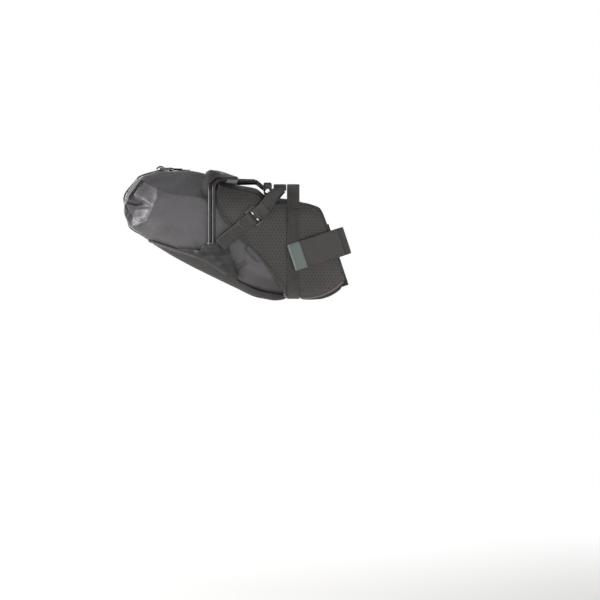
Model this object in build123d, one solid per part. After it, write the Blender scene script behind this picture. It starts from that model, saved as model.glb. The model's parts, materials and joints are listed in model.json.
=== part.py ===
"""Saddle bag: a harness and a roll-closed dry bag, held by the seat post, the saddle rails and a sway frame.

+X is forward, +Y is the rider's left and +Z is up. The origin is on the seat post's axis, at the middle of
the post strap's width. All sizes are in millimetres.
"""

import math
import os

from build123d import *

# Bicycle that the bag fits
POST_RADIUS = 15.8
POST_LEAN = 18.3  # degrees that the seat post leans back
RAIL_RADIUS = 3.5
RAIL_HALF_GAP = 22.0  # from the bag's middle plane to each saddle rail
RAIL_HEIGHT = 113.0

# Cloth, webbing and running clearances
PANEL = 2.4  # laminated side, top and base panels
SLIP = 0.5  # between the dry bag and the panels round it
STITCH_GAP = 0.3  # between one sewn layer and the next
REST_GAP = 0.1  # between parts that rest on each other
FIT_GAP = 0.2  # between parts that a bolt or strap holds together
PIN_CLEARANCE = 0.05
WEBBING_WIDTH = 25.0
WEBBING = 1.8
BINDING_WIDTH = 6.0
BINDING = 1.4
RIM_WIDTH = 7.8

# Corner radius of a section across the bag, as a share of its half width, and its limits
ROUNDNESS = 0.8
CORNER_OF_HEIGHT = 0.48
CORNER_OF_WIDTH = 0.97

# Dry bag
SLIDE_ANGLE = 33.0  # degrees above level at which the dry bag pulls out of the harness
DRY_HALF_WIDTH = 82.0
DRY_TOP_AT_HOOP = 136.0
ROLL_THICKNESS = 9.0
ROLL_HALF_WIDTH = 64.0
ROLL_EDGE = 4.05
STIFFENER_WIDTH = 20.0
STIFFENER_HALF_LENGTH = 60.0
STIFFENER = 1.2
HARNESS_HALF_WIDTH = DRY_HALF_WIDTH + SLIP + PANEL

# Harness sections from nose to tail: x, underside, top, half width
HARNESS = [
    (19.0, -84.0, -58.0, 23.5),
    (0.0, -99.0, 0.0, 24.5),
    (-14.0, -106.0, 37.0, 25.5),
    (-31.0, -111.0, 73.0, 28.5),
    (-60.0, -111.5, 82.0, 38.0),
    (-84.0, -111.0, 89.0, 48.0),
    (-120.0, -113.0, 92.0, 60.0),
    (-140.0, -110.0, 98.0, 65.5),
    (-156.0, -107.0, 110.0, 70.0),
    (-198.0, -88.0, 119.0, 79.0),
    (-246.0, -65.0, 139.0, HARNESS_HALF_WIDTH),
    (-294.0, -41.0, 149.0, HARNESS_HALF_WIDTH),
    (-330.0, -21.0, 149.0, HARNESS_HALF_WIDTH),
    (-364.0, 0.5, 143.0, HARNESS_HALF_WIDTH),
]
FAR = 2 * max(abs(row[0]) for row in HARNESS)  # beyond every panel, for cutting tools

# Dry bag's ends
DRY_NOSE = [(-20.0, 48.5), (-31.0, 21.6), (-40.0, 0.0)]  # x and how far below the sloping top
DRY_CROWN = [(-300.0, 146.0), (-330.0, 145.0), (-364.0, 140.5)]  # x and top behind the hoop
DRY_END = [  # x, underside, top, how much narrower each side
    (-382.0, 17.0, 130.0, 3.0),
    (-400.0, 28.0, 103.0, 9.0),
    (-413.0, 44.0, 83.0, 13.0),
    (-419.0, 62.0, 74.0, 16.0),
]
ROLL_FACE = [(-421.0, 89.0), (-392.0, 133.0)]  # side-view line of the closure roll's outer face

# Side-view lines of the harness
BASE_EDGE = [
    (-370.0, 6.0),
    (-313.0, -12.0),
    (-260.0, -28.0),
    (-215.0, -58.0),
    (-190.0, -76.0),
    (-146.0, -96.0),
    (-101.0, -104.0),
]
RIM_FRONT_X = -200.0
CHIN = [(-101.0, -104.0), (30.0, -90.0)]
CHIN_WIDTH = 44.0
DIAGONAL = [(-184.0, 7.0), (-172.0, -8.0), (-144.0, -36.0), (-120.0, -66.0), (-101.0, -96.0)]
SIDE_REAR = [(-226.0, 120.0), (-231.0, 100.0), (-232.0, 78.0), (-226.0, 60.0), (-206.0, 32.0)]
SIDE_TOP = 118.0
TOP_DROP = 20.0  # depth of the top panel's edge below the ridge
TOP_REAR_X = -222.0
TOP_REAR_RISE = 6.0
FRONT_EDGE = [(-62.0, 80.5), (-31.0, 71.5), (-14.0, 35.5), (0.0, -1.0), (19.0, -59.5)]
LABEL_EDGE = [(-172.0, -4.0), (-144.0, -32.0)]
LABEL_WIDTH = 10.0
LABEL = 1.0
WING = [
    (-313.0, -11.0),
    (-264.0, -14.0),
    (-262.0, -2.0),
    (-232.0, -2.0),
    (-226.0, 14.0),
    (-216.0, 9.0),
    (-209.0, -10.0),
    (-207.0, -20.0),
    (-192.0, -72.0),
    (-215.0, -60.0),
    (-260.0, -32.0),
]
WING_CLOTH = 2.0
POCKET_ENDS = (-266.0, -230.5)

# Sway frame
TUBE_RADIUS = 3.5
HOOP_X = -247.2
ARM_X = -239.4
ARM_DROP = 16.8  # from the hoop's level run down to the arms' level run
ARM_BEND_X = -158.0
ARM_BEND_HALF_WIDTH = 42.0
ARM_END_BACK = 3.0
ARM_END_RISE = 2.4
FOOT_WALL = 1.3
FOOT_BOTTOM = -9.0
FOOT_HEIGHT = 10.0
FOOT_FLOOR = 3.0
HOOP_BEND = 42.0
ARM_BEND = 17.0
SLEEVE = 1.8
SLEEVE_LENGTH = 23.0
SLEEVE_SHARE = 0.42  # of the arm's level run, from its rear corner
FLAP = 1.6
FLAP_HALF_WIDTH = 44.0
FLAP_REAR = 4.5  # of the flap behind the hoop's middle
FLAP_LEVEL = 4.0  # of its level part before the arm's upright
FLAP_SLOPE = 22.0
FLAP_FALL = 5.0
FLAP_FRONT = 11.0
FLAP_INSET = (16.0, 22.0)  # of its front corners, from the upright tubes

# Rail clamps
CLAMP_X = -134.5
CLAMP_LENGTH = 16.0
CLAMP_SPLIT = 1.0
CLAMP_CHEEK = 5.0  # clamp beyond the rail's surface
CLAMP_FLOOR = 3.0  # clamp below the bolt's hole
CLAMP_CORNER = 3.0
CLAMP_BOLT_DROP = 8.6
BOLT_RADIUS = 2.5
BOLT_HEAD_RADIUS = 4.4
BOLT_HEAD = 4.0
BOLT_SOCKET = 2.3
BOLT_SOCKET_DEPTH = 2.4
BOLT_TIP = 1.0
EYELET_RADIUS = 6.5
EYELET = 3.5
NUT = 4.0
NUT_FLATS = 8.0

# Seat post fixing, with its lines in the post's own section: forward, then to the left
NOSE_DEPTH = 17.0
PAD = 3.0
PAD_BOTTOM = -86.0
PAD_TOP = 42.0
STRAP_WIDTH = 55.0
STRAP = 2.2
STRAP_FRONT = 24.4
STRAP_BACK = [(-58.0, 41.6), (0.0, 28.4), (13.0, 25.2)]
STRAP_ROUND = [(19.0, 21.0), (STRAP_FRONT, 12.0), (STRAP_FRONT, -12.0), (19.0, -21.0), (13.6, -24.9)]
GRIP_WIDTH = 48.4
GRIP_REAR = 1.0
LOOP_LINE = [(-59.0, -41.1), (-3.0, -27.5)]
LOOP_WIDTH = 51.7
HOOK_LINE = [(-57.0, -42.4), (-6.0, -30.0)]
HOOK_WIDTH = 49.5
PATCH = 1.2
FLAP_LINE = [(-66.0, -46.4), (0.0, -30.4), (12.6, -27.6)]
TAB_LINE = [(-91.4, -56.2), (-66.6, -47.0)]
TAB_WIDTH = 54.0
TAB = 2.0

# Ladder buckles: the side buckles' bar and strap foot, then the top buckle's
BUCKLE_WIDTH = 38.0
BUCKLE_LENGTH = 20.0
BUCKLE_RAIL = 4.2
BUCKLE = 4.4
BAR_RADIUS = 1.6
BAR_GAP = BAR_RADIUS + REST_GAP  # from a bar's middle to the webbing over it
MIDDLE_BAR = 0.45 * BUCKLE_LENGTH
RAIL_REACH = 0.8  # of the side rails behind the anchor bar
FOLD_END = BUCKLE_LENGTH + 2.0
FOLD_WIDTH = 24.4
SIDE_TAIL = 14.0
TOP_TAIL = 2.0
BUCKLE_PIN = (-165.4, -77.8, 47.3)
STRAP_FOOT = (-226.0, -98.8, -4.0)
LOCK_PIN = (-329.5, 0.0, 149.2)
LOCK_FOOT = (-290.0, 0.0, 148.0)
LOCK_STRAP_END = (4.0, 3.2)  # closure strap's lower end: behind the harness, and above its base

# Girth strap, load straps and their loops round the saddle rails
GIRTH_X = -83.5
GIRTH_TOP = 70.0
LOOP_GAP = 0.3  # between a rail and the webbing round it
SHOULDER = [  # load strap over the shoulder: its middle, the way it goes and its outer side
    ((-132.0, -62.5, 81.0), (0.66, 0.30, 0.72), (0.05, -0.90, 0.40)),
    ((-121.0, -47.0, 98.0), (0.45, 0.66, 0.60), (0.0, -0.72, 0.69)),
]
STRAP_END = (-110.0, -31.0, RAIL_HEIGHT - 4.0)
STRAP_END_AHEAD = (0.0, 0.85, 0.52)
STRAP_END_OUT = (0.0, -0.52, 0.85)

SIDE = Plane.XZ
lean = math.radians(POST_LEAN)
POST = Plane(
    origin=(0, 0, 0),
    x_dir=(math.cos(lean), 0, math.sin(lean)),
    z_dir=(-math.sin(lean), 0, math.cos(lean)),
)
pull = math.radians(SLIDE_ANGLE)
pieces = {}


def keep(name, solid):
    pieces[name] = solid


def keep_pair(name, solid):
    """Keeps a right-hand piece and its mirror image on the left."""
    pieces[name + "_right"] = solid
    pieces[name + "_left"] = mirror(solid, about=Plane.XZ)


def between(rows, x, column):
    """Value of a column at x, straight between the two rows either side of it."""
    rows = sorted(rows)
    if x <= rows[0][0]:
        return rows[0][column]
    for low, high in zip(rows, rows[1:]):
        if x <= high[0]:
            share = (x - low[0]) / (high[0] - low[0])
            return low[column] + share * (high[column] - low[column])
    return rows[-1][column]


def corner_radius(height, half, grow):
    """Corner radius of a section across the bag, grown outwards."""
    return min(ROUNDNESS * half + grow, CORNER_OF_HEIGHT * height, CORNER_OF_WIDTH * (half + grow))


def section(x, bottom, top, half, grow):
    """Rounded section across the bag, grown outwards on all sides."""
    height = top - bottom + 2 * grow
    plane = Plane(origin=(x, 0, (bottom + top) / 2), x_dir=(0, 1, 0), z_dir=(1, 0, 0))
    return plane * RectangleRounded(2 * (half + grow), height, corner_radius(height, half, grow))


def half_width_at(x, z, grow):
    """Harness's half width at a place in its side view, grown outwards."""
    bottom, top, half = (between(HARNESS, x, column) for column in (1, 2, 3))
    corner = corner_radius(top - bottom + 2 * grow, half, grow)
    into = corner - min(top + grow - z, z - bottom + grow)
    if into <= 0:
        return half + grow
    return half + grow - corner + math.sqrt(max(corner**2 - into**2, 0.0))


def harness_body(grow):
    """Harness outside surface as a solid, grown outwards or, below nought, inwards."""
    return loft([section(*row, grow) for row in HARNESS], ruled=True)


def layer(low, high):
    """Sleeve of cloth round the harness, between two distances outside it."""
    return harness_body(high) - harness_body(low)


def prism(points):
    """Side-view outline extruded right across the bag."""
    return extrude(make_face(SIDE * Polyline(*points, close=True)), FAR, both=True)


def right_half(solid):
    """The part of a solid on the bag's right, at negative Y."""
    return solid & Pos(0, -FAR / 2, 0) * Box(3 * FAR, FAR, 3 * FAR)


def offset_line(points, distance):
    """The line moved sideways, to the right of its direction, with mitred corners."""
    moved = []
    for i, (x, z) in enumerate(points):
        normals = []
        for a, b in ((i - 1, i), (i, i + 1)):
            if a >= 0 and b < len(points):
                dx, dz = points[b][0] - points[a][0], points[b][1] - points[a][1]
                size = math.hypot(dx, dz)
                normals.append((dz / size, -dx / size))
        nx, nz = sum(n[0] for n in normals), sum(n[1] for n in normals)
        size = math.hypot(nx, nz)
        nx, nz = nx / size, nz / size
        stretch = 1 / (nx * normals[0][0] + nz * normals[0][1])
        moved.append((x + nx * distance * stretch, z + nz * distance * stretch))
    return moved


def strip(points, width):
    """Side-view outline of a strip, with one edge on the given line."""
    return points + offset_line(points, width)[::-1]


def band(points, thickness, plane, width):
    """Webbing or cloth that follows a line in a plane, centred on it and extruded along the plane's axis."""
    outline = offset_line(points, -thickness / 2) + offset_line(points, thickness / 2)[::-1]
    return extrude(make_face(plane * Polyline(*outline, close=True)), width / 2, both=True)


def along_post(radius, bottom, top):
    """Cylinder on the seat post's axis."""
    return POST * Pos(0, 0, (bottom + top) / 2) * Cylinder(radius, top - bottom)


def ahead_of_post(distance):
    """All that is more than a distance forward of the seat post's axis."""
    return POST * Pos(distance + FAR / 2, 0, 0) * Box(FAR, FAR, FAR)


def post_channel():
    """Space that the seat post and its pad take out of the nose."""
    return along_post(POST_RADIUS + PAD, -FAR, FAR) + ahead_of_post(0)


def panels():
    """Side, top and base panels: one shell, cut where the cloth is seamed."""
    shell = layer(-PANEL, 0.0) - post_channel()
    corner, front = CHIN
    chin = prism([corner, front, (front[0], -FAR), (corner[0], -FAR)]) & Box(FAR, CHIN_WIDTH, FAR)
    base = prism(BASE_EDGE + [(corner[0], -FAR), (BASE_EDGE[0][0], -FAR)])
    keep("base_panel", shell & (base + chin))

    rear = SIDE_REAR[0][0]
    beyond = [corner, (corner[0], -FAR), (FAR, -FAR), (FAR, FAR), (rear, FAR)]
    sides = prism(DIAGONAL + beyond + SIDE_REAR)
    ridge = [(row[0], row[2] - TOP_DROP) for row in HARNESS if TOP_REAR_X - 18.0 < row[0] < 0.0]
    rear_edge = [(TOP_REAR_X, ridge[-1][1] + TOP_REAR_RISE), (TOP_REAR_X, FAR)]
    top = prism([(FAR, ridge[0][1])] + ridge + rear_edge + [(FAR, FAR)])
    under = prism([(-FAR, SIDE_TOP), (FAR, SIDE_TOP), (FAR, -FAR), (-FAR, -FAR)])
    keep_pair("side_panel", right_half((shell & sides & under) - top - chin))
    keep("top_panel", shell & top)


def nose():
    """Foam block between the dry bag and the post, and the grip pad on its front."""
    slab = ahead_of_post(-(POST_RADIUS + PAD + NOSE_DEPTH))
    keep("nose_block", (harness_body(-PANEL) & slab) - post_channel())
    pad = along_post(POST_RADIUS + PAD, PAD_BOTTOM, PAD_TOP) - ahead_of_post(0)
    keep("post_pad", pad - along_post(POST_RADIUS + PIN_CLEARANCE, -FAR, FAR))


def bindings():
    """Narrow bindings over the cut edges, the base's rim and the side label."""
    low = STITCH_GAP / 2
    skin = right_half(layer(low, low + BINDING)) - post_channel()
    rim = [p for p in BASE_EDGE if p[0] < RIM_FRONT_X]
    keep_pair("base_rim", skin & prism(strip(rim, RIM_WIDTH)))
    keep_pair("diagonal_binding", skin & prism(strip(DIAGONAL, -BINDING_WIDTH)))
    keep_pair("front_binding", skin & prism(strip(FRONT_EDGE, BINDING_WIDTH)))
    over = low + BINDING + STITCH_GAP / 2
    keep("side_label", right_half(layer(over, over + LABEL)) & prism(strip(LABEL_EDGE, LABEL_WIDTH)))


def rail_loop(x, foot):
    """Webbing that drops from a ring round the saddle rail to a rectangle on the plane at its foot."""
    rail = Plane(origin=(x, -RAIL_HALF_GAP, RAIL_HEIGHT), x_dir=(0, 1, 0), z_dir=(1, 0, 0))
    hole = RAIL_RADIUS + LOOP_GAP
    beside = (x, -RAIL_HALF_GAP - hole - WEBBING / 2, RAIL_HEIGHT)
    head = Plane(origin=beside, x_dir=(1, 0, 0), z_dir=(0, 0, 1))
    leg = loft([plane * Rectangle(WEBBING_WIDTH, WEBBING) for plane in (foot, head)], ruled=True)
    ring = rail * Cylinder(hole + WEBBING, WEBBING_WIDTH)
    return (leg + ring) - rail * Cylinder(hole, 2 * WEBBING_WIDTH)


def girth():
    """Webbing that passes under the bag and hangs it from both rails."""
    half = WEBBING_WIDTH / 2
    rear, front = GIRTH_X - half, GIRTH_X + half
    cut = prism([(rear, -FAR), (front, -FAR), (front, GIRTH_TOP), (rear, GIRTH_TOP)])
    keep("girth_strap", layer(STITCH_GAP, STITCH_GAP + WEBBING) & cut)
    high = GIRTH_TOP + STITCH_GAP
    outside = STITCH_GAP + WEBBING / 2
    front, middle, rear = (half_width_at(GIRTH_X + side * half, high, outside) for side in (1, 0, -1))
    foot = Plane(
        origin=(GIRTH_X, -max(middle, (front + rear) / 2) - STITCH_GAP, high),
        x_dir=(WEBBING_WIDTH, rear - front, 0),
        z_dir=(0, 0, 1),
    )
    keep_pair("girth_loop", rail_loop(GIRTH_X, foot))


ACROSS = Rot(90, 0, 0)  # turns a cylinder to lie along a strap plane's second axis


def webbing_plane(pin, foot, side):
    """Plane of a strap: origin on its buckle's anchor bar, x up the strap and z outwards, nearest to side."""
    up = (Vector(*pin) - Vector(*foot)).normalized()
    out = (Vector(*side) - up * Vector(*side).dot(up)).normalized()
    return Plane(origin=pin, x_dir=up, z_dir=out)


def anchor_strap(pin, foot):
    """Webbing from the foot to a sewn eye round the buckle's anchor bar, in the strap's own plane."""
    length = (Vector(*pin) - Vector(*foot)).length
    loop = BAR_RADIUS + PIN_CLEARANCE
    flat = Pos(-length / 2, 0, -WEBBING / 2) * Box(length, WEBBING_WIDTH, WEBBING)
    eye = ACROSS * Cylinder(loop + WEBBING, WEBBING_WIDTH)
    return flat + eye - ACROSS * Cylinder(loop, 2 * WEBBING_WIDTH)


def ladder_buckle():
    """Ladder buckle: two side rails, a round anchor bar and two square bars."""
    start = -BAR_RADIUS - RAIL_REACH
    inside = BUCKLE_WIDTH - BUCKLE_RAIL
    frame = ACROSS * Cylinder(BAR_RADIUS, inside)
    for side in (-1, 1):
        rail = Box(BUCKLE_LENGTH - start, BUCKLE_RAIL, BUCKLE)
        frame += Pos((start + BUCKLE_LENGTH) / 2, side * inside / 2, 0) * rail
    for x in (MIDDLE_BAR, BUCKLE_LENGTH - BAR_RADIUS):
        frame += Pos(x, 0, 0) * Box(2 * BAR_RADIUS, inside, 2 * BAR_RADIUS)
    return frame


def folded_webbing(tail):
    """Webbing that comes in under the end bar, turns up before it and leaves over it as a free tail."""
    middle = BAR_GAP + WEBBING / 2
    turn = MIDDLE_BAR + middle
    start = turn - WEBBING / 2
    under = Pos((start + FOLD_END) / 2, 0, -middle) * Box(FOLD_END - start, FOLD_WIDTH, WEBBING)
    over = Pos((start + FOLD_END + tail) / 2, 0, middle) * Box(FOLD_END + tail - start, FOLD_WIDTH, WEBBING)
    riser = Pos(turn, 0, 0) * Box(WEBBING, FOLD_WIDTH, 2 * middle + WEBBING)
    return under + over + riser


def end_of_fold(plane):
    """Middle of the next strap's end, where the folded webbing leaves a buckle."""
    return plane.from_local_coords(Vector(FOLD_END + STITCH_GAP, 0, -BAR_GAP - WEBBING / 2))


def side_straps():
    """Load strap from the wing up to its ladder buckle."""
    plane = webbing_plane(BUCKLE_PIN, STRAP_FOOT, (0, -1, 0))
    keep_pair("lower_strap", plane * anchor_strap(BUCKLE_PIN, STRAP_FOOT))
    keep_pair("side_buckle", plane * ladder_buckle())
    keep_pair("buckle_webbing", plane * folded_webbing(SIDE_TAIL))


def upper_straps():
    """Webbing from the buckle over the bag's shoulder, and its loop round the saddle rail."""
    plane = webbing_plane(BUCKLE_PIN, STRAP_FOOT, (0, -1, 0))
    stations = [(end_of_fold(plane), plane.x_dir, plane.z_dir)]
    stations += [tuple(Vector(*values) for values in row) for row in SHOULDER]
    stations.append((Vector(*STRAP_END), Vector(*STRAP_END_AHEAD), Vector(*STRAP_END_OUT)))
    faces = []
    for origin, ahead, out in stations:
        ahead = ahead.normalized()
        out = (out - ahead * out.dot(ahead)).normalized()
        station = Plane(origin=origin, x_dir=ahead.cross(out), z_dir=ahead)
        faces.append(station * Rectangle(WEBBING_WIDTH, WEBBING))
    keep_pair("upper_strap", loft(faces, ruled=True))
    end = Vector(*STRAP_END) + Vector(*STRAP_END_AHEAD).normalized() * STITCH_GAP
    foot = Plane(origin=end, x_dir=(1, 0, 0), z_dir=STRAP_END_AHEAD)
    keep_pair("strap_loop", rail_loop(STRAP_END[0], foot))


def foot_half_thickness():
    return TUBE_RADIUS + FOOT_WALL


def tube_y():
    """Distance of the frame's upright tubes from the bag's middle plane."""
    return DRY_HALF_WIDTH + SLIP + foot_half_thickness()


def hoop_top():
    """Height of the hoop's level run, just clear of the dry bag as it pulls out."""
    return DRY_TOP_AT_HOOP + (SLIP + TUBE_RADIUS) / math.cos(pull)


def wings():
    """Folded cloth that carries the base up to the load strap, with a pocket for the frame's foot."""
    low = STITCH_GAP + BINDING + STITCH_GAP
    high = 2 * foot_half_thickness() + SLIP - PANEL + 2 * STITCH_GAP + WING_CLOTH
    rear, front = POCKET_ENDS
    floor = FOOT_BOTTOM - SLIP
    depth = 2 * (tube_y() + foot_half_thickness() + STITCH_GAP)
    pocket = prism([(rear, floor), (front, floor), (front, FAR), (rear, FAR)]) & Box(3 * FAR, depth, 3 * FAR)
    keep_pair("wing", (right_half(layer(low, high)) & prism(WING)) - pocket)


def sweep_tube(points, radius):
    """Round tube's solid along straight runs, with arcs of a radius at their corners."""
    path = FilletPolyline(*points, radius=radius)
    start = Plane(origin=path @ 0, z_dir=path % 0)
    return sweep(start * Circle(TUBE_RADIUS), path=path)


def bolt_plane():
    """Plane on the middle of the right arm's eyelet, z along the clamp bolt towards the bag's middle."""
    outer = RAIL_HALF_GAP + RAIL_RADIUS + CLAMP_CHEEK
    centre = (CLAMP_X, -(outer + FIT_GAP + EYELET / 2), RAIL_HEIGHT - CLAMP_BOLT_DROP)
    return Plane(origin=centre, x_dir=(1, 0, 0), z_dir=(0, 1, 0))


def sway_frame():
    """Hoop over the bag, an arm on each side to the rail clamp, and a foot that joins them below."""
    y = tube_y()
    low = FOOT_BOTTOM + FOOT_FLOOR
    hoop = [(HOOP_X, -y, low), (HOOP_X, -y, hoop_top()), (HOOP_X, y, hoop_top()), (HOOP_X, y, low)]
    keep("sway_hoop", sweep_tube(hoop, HOOP_BEND))

    bolt = bolt_plane()
    level = hoop_top() - ARM_DROP
    start = bolt.origin + Vector(-ARM_END_BACK, EYELET / 2 - TUBE_RADIUS, ARM_END_RISE)
    bend = Vector(ARM_BEND_X, -ARM_BEND_HALF_WIDTH, level)
    corner = Vector(ARM_X, -y, level)
    arm = sweep_tube([start, bend, corner, (ARM_X, -y, low)], ARM_BEND)
    end = 3 * EYELET_RADIUS
    beside = bolt * Box(end, end, end) - bolt * Box(2 * end, 2 * end, EYELET)
    arm = (arm + bolt * Cylinder(EYELET_RADIUS, EYELET)) - beside
    keep_pair("sway_arm", arm - bolt * Cylinder(BOLT_RADIUS + PIN_CLEARANCE, end))

    half = foot_half_thickness()
    block = Box(ARM_X - HOOP_X + 2 * half, 2 * half, FOOT_HEIGHT)
    block = Pos((HOOP_X + ARM_X) / 2, -y, FOOT_BOTTOM + FOOT_HEIGHT / 2) * block
    block = fillet(block.edges().filter_by(Axis.Z), 0.9 * half)
    for x in (HOOP_X, ARM_X):
        block -= Pos(x, -y, low + FOOT_HEIGHT / 2) * Cylinder(TUBE_RADIUS, FOOT_HEIGHT)
    keep_pair("frame_foot", block)

    along = bend - corner
    axis = Plane(origin=corner + along * SLEEVE_SHARE, z_dir=along)
    sleeve = axis * Cylinder(TUBE_RADIUS + SLEEVE, SLEEVE_LENGTH)
    keep_pair("arm_sleeve", sleeve - axis * Cylinder(TUBE_RADIUS, 2 * SLEEVE_LENGTH))
    top_flap(axis.origin.X, level)


def top_flap(sleeve_x, arm_level):
    """Cloth over the hoop and down over the two sleeves."""
    y = tube_y()
    over = hoop_top() + TUBE_RADIUS + REST_GAP + FLAP / 2
    level = ARM_X + FLAP_LEVEL
    line = [
        (HOOP_X - FLAP_REAR, over),
        (level, over),
        (level + FLAP_SLOPE, over - FLAP_FALL),
        (sleeve_x + FLAP_FRONT, arm_level + TUBE_RADIUS + SLEEVE + REST_GAP + FLAP / 2),
    ]
    sides = [
        (HOOP_X - FLAP_REAR, FLAP_HALF_WIDTH),
        (ARM_X, FLAP_HALF_WIDTH),
        (sleeve_x, y - FLAP_INSET[0]),
        (sleeve_x + FLAP_FRONT, y - FLAP_INSET[1]),
    ]
    plan = sides + [(x, -half) for x, half in sides[::-1]]
    cut = extrude(make_face(Plane.XY * Polyline(*plan, close=True)), FAR, both=True)
    keep("top_flap", band(line, FLAP, SIDE, 4 * y) & cut)


def rail_clamps():
    """Split clamp on each saddle rail, with the bolt that also carries the sway frame's arm."""
    reach = RAIL_RADIUS + CLAMP_CHEEK
    bolt = bolt_plane()
    low = bolt.origin.Z - BOLT_RADIUS - CLAMP_FLOOR
    high = RAIL_HEIGHT + reach
    rail = Plane(origin=(CLAMP_X, -RAIL_HALF_GAP, RAIL_HEIGHT), x_dir=(0, 1, 0), z_dir=(1, 0, 0))
    groove = rail * Cylinder(RAIL_RADIUS + PIN_CLEARANCE, 2 * CLAMP_LENGTH)
    through = bolt * Cylinder(BOLT_RADIUS + PIN_CLEARANCE, 8 * reach)
    half = (2 * reach - CLAMP_SPLIT) / 2
    for name, side in (("clamp_outer", -1), ("clamp_inner", 1)):
        block = Pos(CLAMP_X, -RAIL_HALF_GAP + side * (CLAMP_SPLIT + half) / 2, (low + high) / 2)
        block = block * Box(CLAMP_LENGTH, half, high - low)
        block = fillet(block.edges().filter_by(Axis.Y), CLAMP_CORNER)
        keep_pair(name, block - groove - through)
    inner_face = -RAIL_HALF_GAP + reach - bolt.origin.Y
    head_face = -EYELET / 2 - FIT_GAP
    tip = inner_face + FIT_GAP + NUT + BOLT_TIP
    shaft = bolt * Pos(0, 0, (head_face + tip) / 2) * Cylinder(BOLT_RADIUS, tip - head_face)
    head = bolt * Pos(0, 0, head_face - BOLT_HEAD / 2) * Cylinder(BOLT_HEAD_RADIUS, BOLT_HEAD)
    outer_face = bolt * Pos(0, 0, head_face - BOLT_HEAD)
    socket = outer_face * extrude(RegularPolygon(BOLT_SOCKET, 6), BOLT_SOCKET_DEPTH, both=True)
    keep_pair("clamp_bolt", shaft + head - socket)
    nut = bolt * Pos(0, 0, inner_face) * extrude(RegularPolygon(NUT_FLATS / math.sqrt(3), 6), NUT)
    keep_pair("clamp_nut", nut - through)


def post_strap():
    """Wide hook-and-loop strap round the seat post, perpendicular to it."""
    line = STRAP_BACK + STRAP_ROUND
    keep("post_strap", band(line, STRAP, POST, STRAP_WIDTH))
    inner = offset_line(line, STRAP / 2 + FIT_GAP)[len(STRAP_BACK) - 1 :]
    block = [(GRIP_REAR, inner[0][1])] + inner + [(GRIP_REAR, inner[-1][1])]
    grip = extrude(make_face(POST * Polyline(*block, close=True)), GRIP_WIDTH / 2, both=True)
    keep("front_grip", grip - along_post(POST_RADIUS + PIN_CLEARANCE, -FAR, FAR))
    keep("loop_patch", band(LOOP_LINE, PATCH, POST, LOOP_WIDTH))
    keep("hook_patch", band(HOOK_LINE, PATCH, POST, HOOK_WIDTH))
    keep("strap_flap", band(FLAP_LINE, STRAP, POST, STRAP_WIDTH))
    keep("pull_tab", band(TAB_LINE, TAB, POST, TAB_WIDTH))


def dry_top(x):
    """Top of the dry bag ahead of the hoop, in line with the way it pulls out."""
    return DRY_TOP_AT_HOOP - (x - HOOP_X) * math.tan(pull)


def dry_body():
    """Dry bag's solid, from its blunt nose to its tapered rear end."""
    inset = PANEL + SLIP
    rows = []
    for x, below in DRY_NOSE:
        rows.append((x, between(HARNESS, x, 1) + inset, dry_top(x) - below, between(HARNESS, x, 3) - inset))
    for x, bottom, _, half in HARNESS:
        if DRY_NOSE[-1][0] > x > HOOP_X:
            rows.append((x, bottom + inset, dry_top(x), half - inset))
    for x, top in DRY_CROWN:
        rows.append((x, between(HARNESS, x, 1) + inset, top, DRY_HALF_WIDTH))
    rows += [(x, bottom, top, DRY_HALF_WIDTH - narrow) for x, bottom, top, narrow in DRY_END]
    return loft([section(*row, 0.0) for row in rows], ruled=True)


def roll_plane():
    """Plane on the middle of the closure roll: x up its face and z outwards."""
    low, high = (Vector(x, 0, z) for x, z in ROLL_FACE)
    up = (high - low).normalized()
    out = Vector(-up.Z, 0, up.X)
    return Plane(origin=(low + high) / 2 - out * (ROLL_THICKNESS / 2), x_dir=up, z_dir=out)


def dry_bag():
    """Dry bag and its rolled closure with the stiffener strip inside."""
    plane = roll_plane()
    roll = plane * Box(math.dist(*ROLL_FACE), 2 * ROLL_HALF_WIDTH, ROLL_THICKNESS)
    roll = fillet(roll.edges().filter_by(Axis.Y), ROLL_EDGE)
    strip_inside = plane * Box(STIFFENER_WIDTH, 2 * STIFFENER_HALF_LENGTH, STIFFENER)
    bag = dry_body()
    keep("dry_bag", bag)
    keep("closure_roll", roll - bag - strip_inside)
    keep("closure_stiffener", strip_inside)


def closure_strap():
    """Webbing from the dry bag's lower end, round its roll, to the ladder buckle on its top."""
    plane = webbing_plane(LOCK_PIN, LOCK_FOOT, (0, 0, 1))
    keep("closure_anchor", plane * anchor_strap(LOCK_PIN, LOCK_FOOT))
    keep("closure_buckle", plane * ladder_buckle())
    keep("closure_fold", plane * folded_webbing(TOP_TAIL))
    end = end_of_fold(plane)
    tail = HARNESS[-1][0] - LOCK_STRAP_END[0]
    start = (tail, between(HARNESS, tail, 1) + PANEL + SLIP + LOCK_STRAP_END[1])
    under = [(x, z) for x, z, _, _ in DRY_END]
    round_end = (DRY_END[-1][0], DRY_END[-1][2])
    line = offset_line([start] + under + [round_end] + ROLL_FACE, -STITCH_GAP - WEBBING / 2)
    keep("closure_strap", band(line + [(end.X, end.Z)], WEBBING, SIDE, WEBBING_WIDTH))


def write_pieces():
    os.makedirs("parts", exist_ok=True)
    for name, solid in pieces.items():
        export_step(solid, f"parts/{name}.step")


panels()
nose()
bindings()
girth()
side_straps()
upper_straps()
wings()
sway_frame()
rail_clamps()
post_strap()
dry_bag()
closure_strap()
write_pieces()
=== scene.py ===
"""Looks of a saddle bag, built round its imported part.

Lengths are in millimetres; +X runs forward, +Y to the left and +Z up. Lights, camera and panel use metres.
"""

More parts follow.
